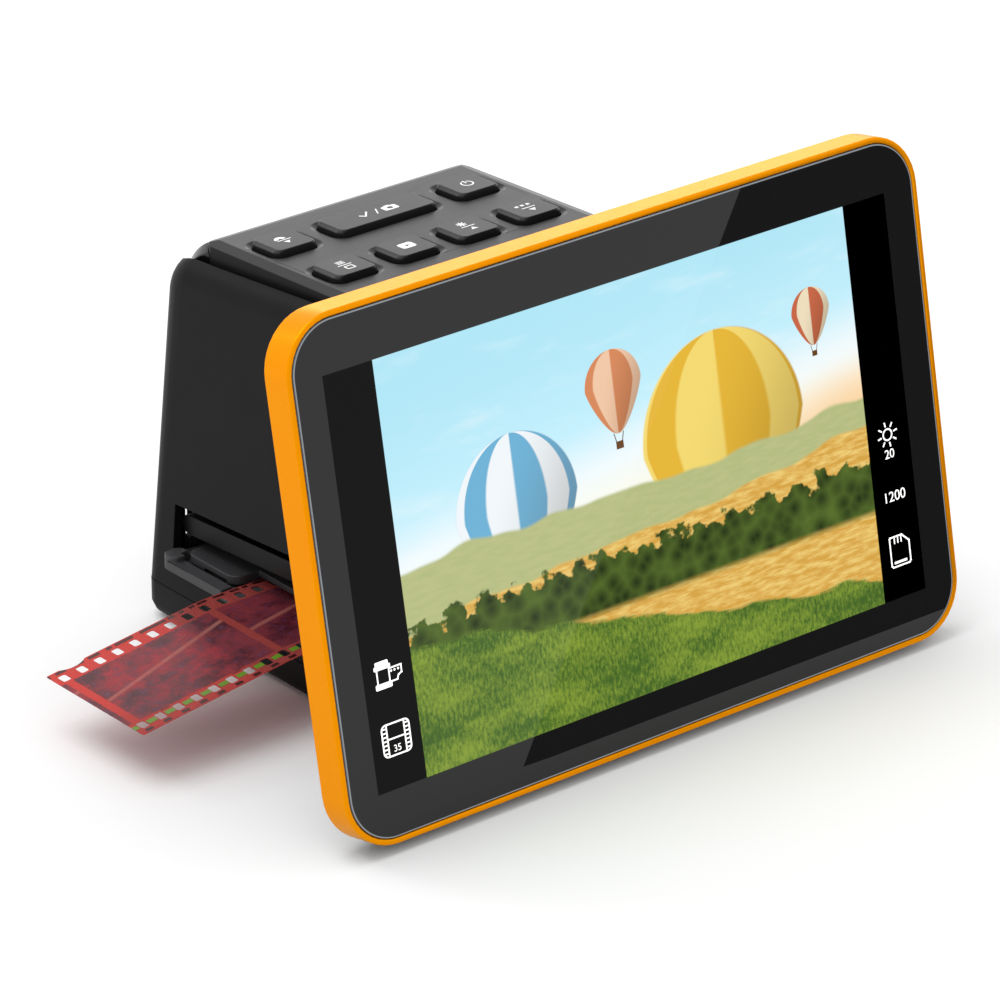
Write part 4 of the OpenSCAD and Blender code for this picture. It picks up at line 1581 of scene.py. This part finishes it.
@dataclass
class Keypad:
    """Seven buttons on the sloping panel.

    The chamfer is how far it goes in at the sides, in at the front and back, and down.
    """

    columns: tuple[float, ...] = (-25.5, -8.5, 8.5, 25.5)
    back: float = -8.4
    front: float = -29.6
    small: tuple[float, float] = (11.4, 10.0)
    wide: tuple[float, float] = (27.4, 9.4)
    corner: float = 1.8
    up: float = 1.2
    chamfer: tuple[float, float, float] = (0.7, 0.15, 0.7)
    top_corner: float = 1.6
    rounding: float = 0.12
    wall: float = 2.2
    play: float = 0.1
    flange: float = 0.8
    skirt: float = 1.0
    stem: float = 2.0
    reach: float = 6.0
    ink: tuple[float, float] = (0.005, 0.035)
    places: dict[Mark, tuple[float, float]] = field(default_factory=dict)

    def __post_init__(self) -> None:
        """Sets each button's place."""
        left, mid_left, mid_right, right = self.columns
        self.places = {
            Mark.TURN: (left, self.back),
            Mark.OK: (0.0, self.back),
            Mark.POWER: (right, self.back),
            Mark.MENU: (left, self.front),
            Mark.PLAY: (mid_left, self.front),
            Mark.UP: (mid_right, self.front),
            Mark.DOWN: (right, self.front),
        }

    def build(self) -> None:
        """Builds the caps and prints their marks."""
        grey = Moulded(
            "button_plastic", "#202021", 0.42, 0.1, coat=0.42, coat_rough=0.27, coat_low=0.0
        ).material()
        # the print's faint glow is painted light that makes the marks read brighter white
        ink = Ink("button_print").material()
        for mark, at in self.places.items():
            size = self.wide if mark is Mark.OK else self.small
            body = f"{mark.value}_button"
            cap = self.cap(*size, at)
            cap.piece(
                f"cap_{mark.value}",
                body,
                grey,
                Slot.BUTTON,
                Place.PANEL,
                (f"button_{mark.value}",),
                self.rounding,
                2,
            )
            sign = SignMaker((self.up + self.ink[0], self.up + self.ink[1]), at)
            sign.mark(mark)
            sign.form.piece(f"print_{mark.value}", body, ink, Slot.INK, Place.PANEL)

    def cap(self, width: float, depth: float, at: tuple[float, float]) -> Form:
        """Builds a cap with its flange and stem.

        Args:
            width: The cap's width.
            depth: The cap's depth.
            at: Its middle on the panel.

        Returns:
            The form.
        """
        form = Form()
        low = -self.wall - self.play
        skirt = (width + 2 * self.flange, depth + 2 * self.flange, self.corner)
        aside, ahead, down = self.chamfer
        form.stack(
            [
                (*skirt, low - self.skirt),
                (*skirt, low),
                (width, depth, self.corner, low),
                (width, depth, self.corner, self.up - down),
                (width - 2 * aside, depth - 2 * ahead, self.top_corner, self.up),
            ],
            closed=False,
        )
        form.disc(self.stem, -self.reach, low - self.skirt / 2, (0.0, 0.0))
        bmesh.ops.translate(form.mesh, vec=(*at, 0.0), verts=form.mesh.verts)
        return form


@dataclass
class Casing:
    """Covers, base and feet.

    A foot is its radius and height, and the feet stand at plus and minus their X and Y.
    """

    rounding: float = 0.25
    panel_rounding: float = 0.18
    panel_crease: float = 12.0
    foot_rounding: float = 0.3
    foot: tuple[float, float] = (4.5, 1.0)
    feet: tuple[float, float] = (37.0, 44.0)

    def build(self) -> None:
        """Builds the covers, the front wall, the base and the feet."""
        black = Moulded("cover_plastic", "#121213", 0.42, 0.1).material()
        gloss = Moulded("gloss_plastic", "#0a0a0b", 0.16, 0.25, depth=0.001).material()
        grey = Moulded(
            "panel_plastic", "#1c1c1d", 0.42, 0.1, coat=0.42, coat_rough=0.28, coat_low=-0.9
        ).material()
        sides = ("left_side_cover", "right_side_cover")
        for node in (*sides, "front_wall", "base_case", "screen_back_cover"):
            rounded_copy(node, "scanner", black, self.rounding)
        rounded_copy("rear_cover", "scanner", gloss, self.rounding)
        rounded_copy(
            "top_cover", "scanner", grey, self.panel_rounding, self.panel_crease
        )
        rubber = Rubber().material()
        radius, height = self.foot
        pads = Form()
        for x in (-1, 1):
            for y in (-1, 1):
                at = (x * self.feet[0], y * self.feet[1])
                pads.disc(radius, 0.0, height, at, 48)
        pads.piece(
            "feet",
            "scanner",
            rubber,
            Slot.RUBBER,
            replaces=("rubber_feet",),
            rounding=self.foot_rounding,
        )


@dataclass
class FilmPath:
    """The tray with its lid, the guide over it and the strip of film.

    The strip's holes are wide, high and rounded by the three values of hole. The notch that a
    lab cuts into its edge has a radius, a distance from its left end and one from its middle.
    """

    left: float = -97.2
    right: float = 97.2
    middle: float = 11.4
    level: float = 18.0
    width: float = 34.98
    thickness: float = 0.15
    bend_x: float = -51.7
    bend_radius: float = 60.0
    droop: float = math.radians(7.5)
    bend_cuts: int = 24
    corner: float = 0.4
    pitch: float = 4.75
    hole: tuple[float, float, float] = (1.98, 2.79, 0.5)
    row: float = 28.17
    notch: tuple[float, float, float] = (5.6, 6.4, 21.9)
    rounding: float = 0.2

    def build(self) -> None:
        """Builds the guide, the tray, the lid and the film."""
        dark = Moulded("tray_plastic", "#3c3c3e", 0.4, 0.3).material()
        lid = Moulded("lid_plastic", "#3a3a3c", 0.42, 0.3).material()
        guide = Moulded("guide_plastic", "#0c0c0d", 0.4, 0.15).material()
        rounded_copy("upper_guide", "scanner", guide, self.rounding)
        rounded_copy("film_tray", "tray", dark, self.rounding)
        rounded_copy("tray_lid", "lid", lid, self.rounding)
        self.film()

    def bend(self, spot: Vector) -> Vector:
        """Takes a point of the flat strip to its place on the hanging strip.

        Args:
            spot: The point on the flat strip.

        Returns:
            Its place.
        """
        run = self.bend_x - spot.x
        if run <= 0:
            return spot
        lift = spot.z - self.level
        arc = self.bend_radius * self.droop
        turn = min(run, arc) / self.bend_radius
        reach = self.bend_radius + lift
        x = self.bend_x - reach * math.sin(turn)
        z = self.level - self.bend_radius + reach * math.cos(turn)
        rest = max(run - arc, 0.0)
        return Vector((x - rest * math.cos(turn), spot.y, z - rest * math.sin(turn)))

    def film(self) -> None:
        """Builds the perforated strip."""
        arc = self.bend_radius * self.droop
        start = self.bend_x - self.bend_radius * math.sin(self.droop)
        run = (start - self.left) / math.cos(self.droop)
        length = self.right - self.bend_x + arc + run
        centre = self.right - length / 2
        top = self.level + self.thickness
        strip = Form()
        strip.plate(length, self.width, self.corner, self.level, top, (centre, self.middle))
        holes = Form()
        under, over = self.level - 1, self.level + 1
        count = round(length / self.pitch)
        for i in range(count):
            x = self.right - length + (i + 0.5) * self.pitch
            for side in (-1, 1):
                at = (x, self.middle + side * self.row / 2)
                holes.plate(*self.hole, under, over, at, 4)
        radius, aside, ahead = self.notch
        holes.disc(radius, under, over, (self.left + aside, self.middle + ahead), 96)
        strip.subtract(holes)
        # the cuts reach a fifth of the bend's length past both of its ends
        for i in range(self.bend_cuts):
            place = self.bend_x - arc * 1.2 + i * arc * 1.4 / (self.bend_cuts - 1)
            geometry = [*strip.mesh.verts, *strip.mesh.edges, *strip.mesh.faces]
            bmesh.ops.bisect_plane(
                strip.mesh, geom=geometry, plane_co=(place, 0, 0), plane_no=(1, 0, 0)
            )
        for vert in strip.mesh.verts:
            vert.co = self.bend(vert.co)
        strip.piece(
            "negative_strip", "film", FilmBase().material(), Slot.FILM, replaces=("film_strip",)
        )


@dataclass
class Inside:
    """Boards, guides, optics and fasteners that keep their solids."""

    def build(self) -> None:
        """Gives each hidden solid its finish."""
        steel = Metal("plated_steel", "#c9c9cc", 0.28).material()
        frame_grey = Moulded("frame_plastic", "#3a3a3c").material()
        finishes = {
            ("display_screws", "board_screws", "keypad_screws", "base_screws"): steel,
            ("detent_springs", "lid_hinge_pins"): Metal("spring_steel", "#b8bcc0", 0.22).material(),
            ("usb_socket", "hdmi_socket", "card_socket"): Metal(
                "socket_shell", "#c4c6ca", 0.3
            ).material(),
            ("inner_frame",): frame_grey,
            ("tray_channel",): Moulded("channel_plastic", "#1e1e20").material(),
            ("camera_housing", "lens_barrel"): Moulded("optic_plastic", "#141415", 0.55).material(),
            ("front_lens", "rear_lens"): Clear("lens_glass", "#e8f0f4").material(),
            ("ir_filter",): Clear("filter_glass", "#f4c8cc").material(),
            ("light_diffuser",): Moulded("opal_acrylic", "#f0f0ea", 0.35, 0.5).material(),
            ("light_box",): Moulded("white_plastic", "#e6e6e2", 0.4).material(),
            ("led_board",): Board("white_board", "#e4e4e0", "#d0d0cc").material(),
            ("light_leds",): Moulded("led_resin", "#e8cf5a", 0.3, 0.5).material(),
            ("image_sensor",): Moulded("sensor_die", "#30343c", 0.12, 0.6).material(),
            ("sensor_board", "main_board", "button_board"): Board(
                "green_board", "#0f4a2a", "#1a6a3c"
            ).material(),
            ("main_chips",): Moulded("chip_resin", "#1e1e20", 0.5).material(),
            ("tact_switches",): Metal("switch_metal", "#b4b6ba", 0.35).material(),
            ("lcd_ribbon", "button_ribbon"): Moulded("ribbon_film", "#b0661f", 0.3, 0.5).material(),
            ("lcd_panel",): Moulded("panel_glass", "#2a2c30", 0.15, 0.5).material(),
            ("lcd_backlight",): Metal("backlight_pan", "#b0b2b6", 0.35).material(),
        }
        for nodes, material in finishes.items():
            for node in nodes:
                data = frame["nodes"][node].data
                data.materials.clear()
                data.materials.append(material)
                log.info("%s keeps its solid, in %s", node, material.name)


@dataclass(frozen=True)
class Softbox:
    """A lit panel that faces the scanner and gives its edges their gleam."""

    name: str
    way: tuple[float, float, float]
    reach: float
    size: tuple[float, float]
    radiance: float
    middle: tuple[float, float, float] = (0.0, 0.0, 0.06)

    def hang(self) -> None:
        """Puts the panel in the room."""
        data = bpy.data.lights.new(self.name, "AREA")
        data.shape = "RECTANGLE"
        data.size, data.size_y = self.size
        data.energy = math.pi * self.size[0] * self.size[1] * self.radiance
        made = bpy.data.objects.new(self.name, data)
        way = Vector(self.way).normalized()
        made.location = Vector(self.middle) + way * self.reach
        made.rotation_euler = (-way).to_track_quat("-Z", "Y").to_euler()
        made.visible_camera = False
        bpy.context.scene.collection.objects.link(made)


@dataclass
class Studio:
    """Floor, light, world and camera.

    The flag's corners are the points of the screen's plane in which the camera sees them, and
    its near and far distances are those of its lower and upper corners from that plane.
    """

    ambient: float = 0.78
    sun: float = 1.0
    sun_spread: float = 40.0
    sun_turn: tuple[float, float, float] = (-12.0, -14.0, 0.0)
    floor_half: float = 6.0
    boxes: tuple[Softbox, ...] = (
        Softbox("key_box", (-0.42, 0.685, 0.594), 1.2, (0.25, 0.25), 5.0),
        Softbox("back_glow", (0.62, 0.76, 0.16), 1.5, (1.6, 0.4), 1.5),
    )
    eye: tuple[float, float, float] = (-751.05, -917.8, 590.5)
    aim: tuple[float, float, float] = (64.94, 0.0, -39.47)
    lens: float = 216.0
    flag_corners: tuple[tuple[float, float], ...] = (
        (-42.5, -55.2),
        (260.0, -55.2),
        (260.0, 55.8),
        (36.9, 55.8),
    )
    flag_near: float = 40.0
    flag_far: float = 260.0

    def build(self) -> None:
        """Sets up the studio."""
        self.camera()
        self.world()
        self.floor()
        self.lamp()
        for box in self.boxes:
            box.hang()
        self.flag()
        bpy.context.scene.view_settings.view_transform = "Standard"

    def camera(self) -> None:
        """Places the camera at the photograph's angle."""
        data = bpy.data.cameras.new("camera")
        data.lens = self.lens
        data.sensor_width = 36.0
        made = bpy.data.objects.new("camera", data)
        made.location = [c * MM for c in self.eye]
        made.rotation_euler = [math.radians(a) for a in self.aim]
        bpy.context.scene.collection.objects.link(made)
        bpy.context.scene.camera = made

    @staticmethod
    def seen(shader: Shader) -> Wire:
        """Tells the rays that show the background from those that light the scanner.

        Args:
            shader: The shader that asks.

        Returns:
            One for rays from the camera, a mirror or a glass, and zero for others.
        """
        path = shader.node("ShaderNodeLightPath", output="Is Camera Ray")
        outputs = path.socket.node.outputs
        return path.most(Wire(shader, outputs["Is Glossy Ray"])).most(
            Wire(shader, outputs["Is Transmission Ray"])
        )

    def world(self) -> None:
        """Fills the room with soft light and shows white behind everything."""
        shader = Shader("studio", world=True)
        level = (self.ambient, self.ambient, self.ambient, 1.0)
        colour = shader.mix(self.seen(shader), level, (1.0, 1.0, 1.0, 1.0))
        glow = shader.node("ShaderNodeBackground", None, {0: colour, 1: 1.0})
        bpy.context.scene.world = shader.finish(glow)

    def floor(self) -> None:
        """Lays a pale floor that keeps the object's shadow."""
        mesh = bmesh.new()
        bmesh.ops.create_grid(mesh, x_segments=1, y_segments=1, size=self.floor_half)
        shader = Shader("floor_paper")
        fibre = shader.noise(shader.spot(), 0.5, 4.0)
        path = shader.node("ShaderNodeLightPath", output="Is Camera Ray")
        pale = shader.mix(fibre, paint("#e8e8e8"), paint("#ebebeb"))
        colour = shader.mix(path, pale, (1.0, 1.0, 1.0, 1.0))
        sockets = {"Base Color": colour, "Roughness": 0.9, "Specular IOR Level": 0.0}
        self.stand("floor", mesh, shader.surface(sockets))

    @staticmethod
    def stand(
        name: str, mesh: bmesh.types.BMesh, material: bpy.types.Material
    ) -> bpy.types.Object:
        """Puts a mesh in the room that is not part of the scanner.

        Args:
            name: The object's name.
            mesh: Its bmesh in metres, which is freed.
            material: Its finish.

        Returns:
            The new object.
        """
        data = bpy.data.meshes.new(name)
        mesh.to_mesh(data)
        mesh.free()
        data.materials.append(material)
        made = bpy.data.objects.new(name, data)
        bpy.context.scene.collection.objects.link(made)
        return made

    def lamp(self) -> None:
        """Hangs a broad soft light overhead."""
        data = bpy.data.lights.new("soft_light", "SUN")
        data.energy = self.sun
        data.angle = math.radians(self.sun_spread)
        made = bpy.data.objects.new("soft_light", data)
        made.rotation_euler = [math.radians(a) for a in self.sun_turn]
        bpy.context.scene.collection.objects.link(made)

    def flag(self) -> None:
        """Stands a dark flag in the room that only the glass reflects."""
        eye = Vector(self.eye)
        place = Place.SCREEN.matrix()
        normal = place.to_3x3() @ Vector((0, 0, 1))
        form = Form()
        face = form.flat(1.0, 1.0, 0.0, 0.0)
        order = sorted(face.verts, key=lambda v: (v.co.y, v.co.x if v.co.y < 0 else -v.co.x))
        for vert, (x, y) in zip(order, self.flag_corners):
            spot = place @ Vector((x, y, 0.0))
            ray = (spot - eye).normalized()
            ray = ray - 2 * ray.dot(normal) * normal
            vert.co = (spot + ray * (self.flag_near if y < 0 else self.flag_far)) * MM
        shader = Shader("flag_cloth")
        weave = shader.noise(shader.spot(), 2.0)
        dark = shader.mix(weave, paint("#000000"), paint("#050505"))
        sockets = {"Base Color": dark, "Roughness": 1.0, "Specular IOR Level": 0.0}
        made = self.stand("flag", form.mesh, shader.surface(sockets))
        for way in ("camera", "diffuse", "shadow", "transmission", "volume_scatter"):
            setattr(made, f"visible_{way}", False)


def main() -> None:
    """Builds the scanner piece by piece."""
    for part in (Studio(), Screen(), Keypad(), Casing(), FilmPath(), Inside()):
        log.info("building %s", type(part).__name__)
        part.build()
    bpy.context.view_layer.update()


if __name__ == "__main__":
    main()
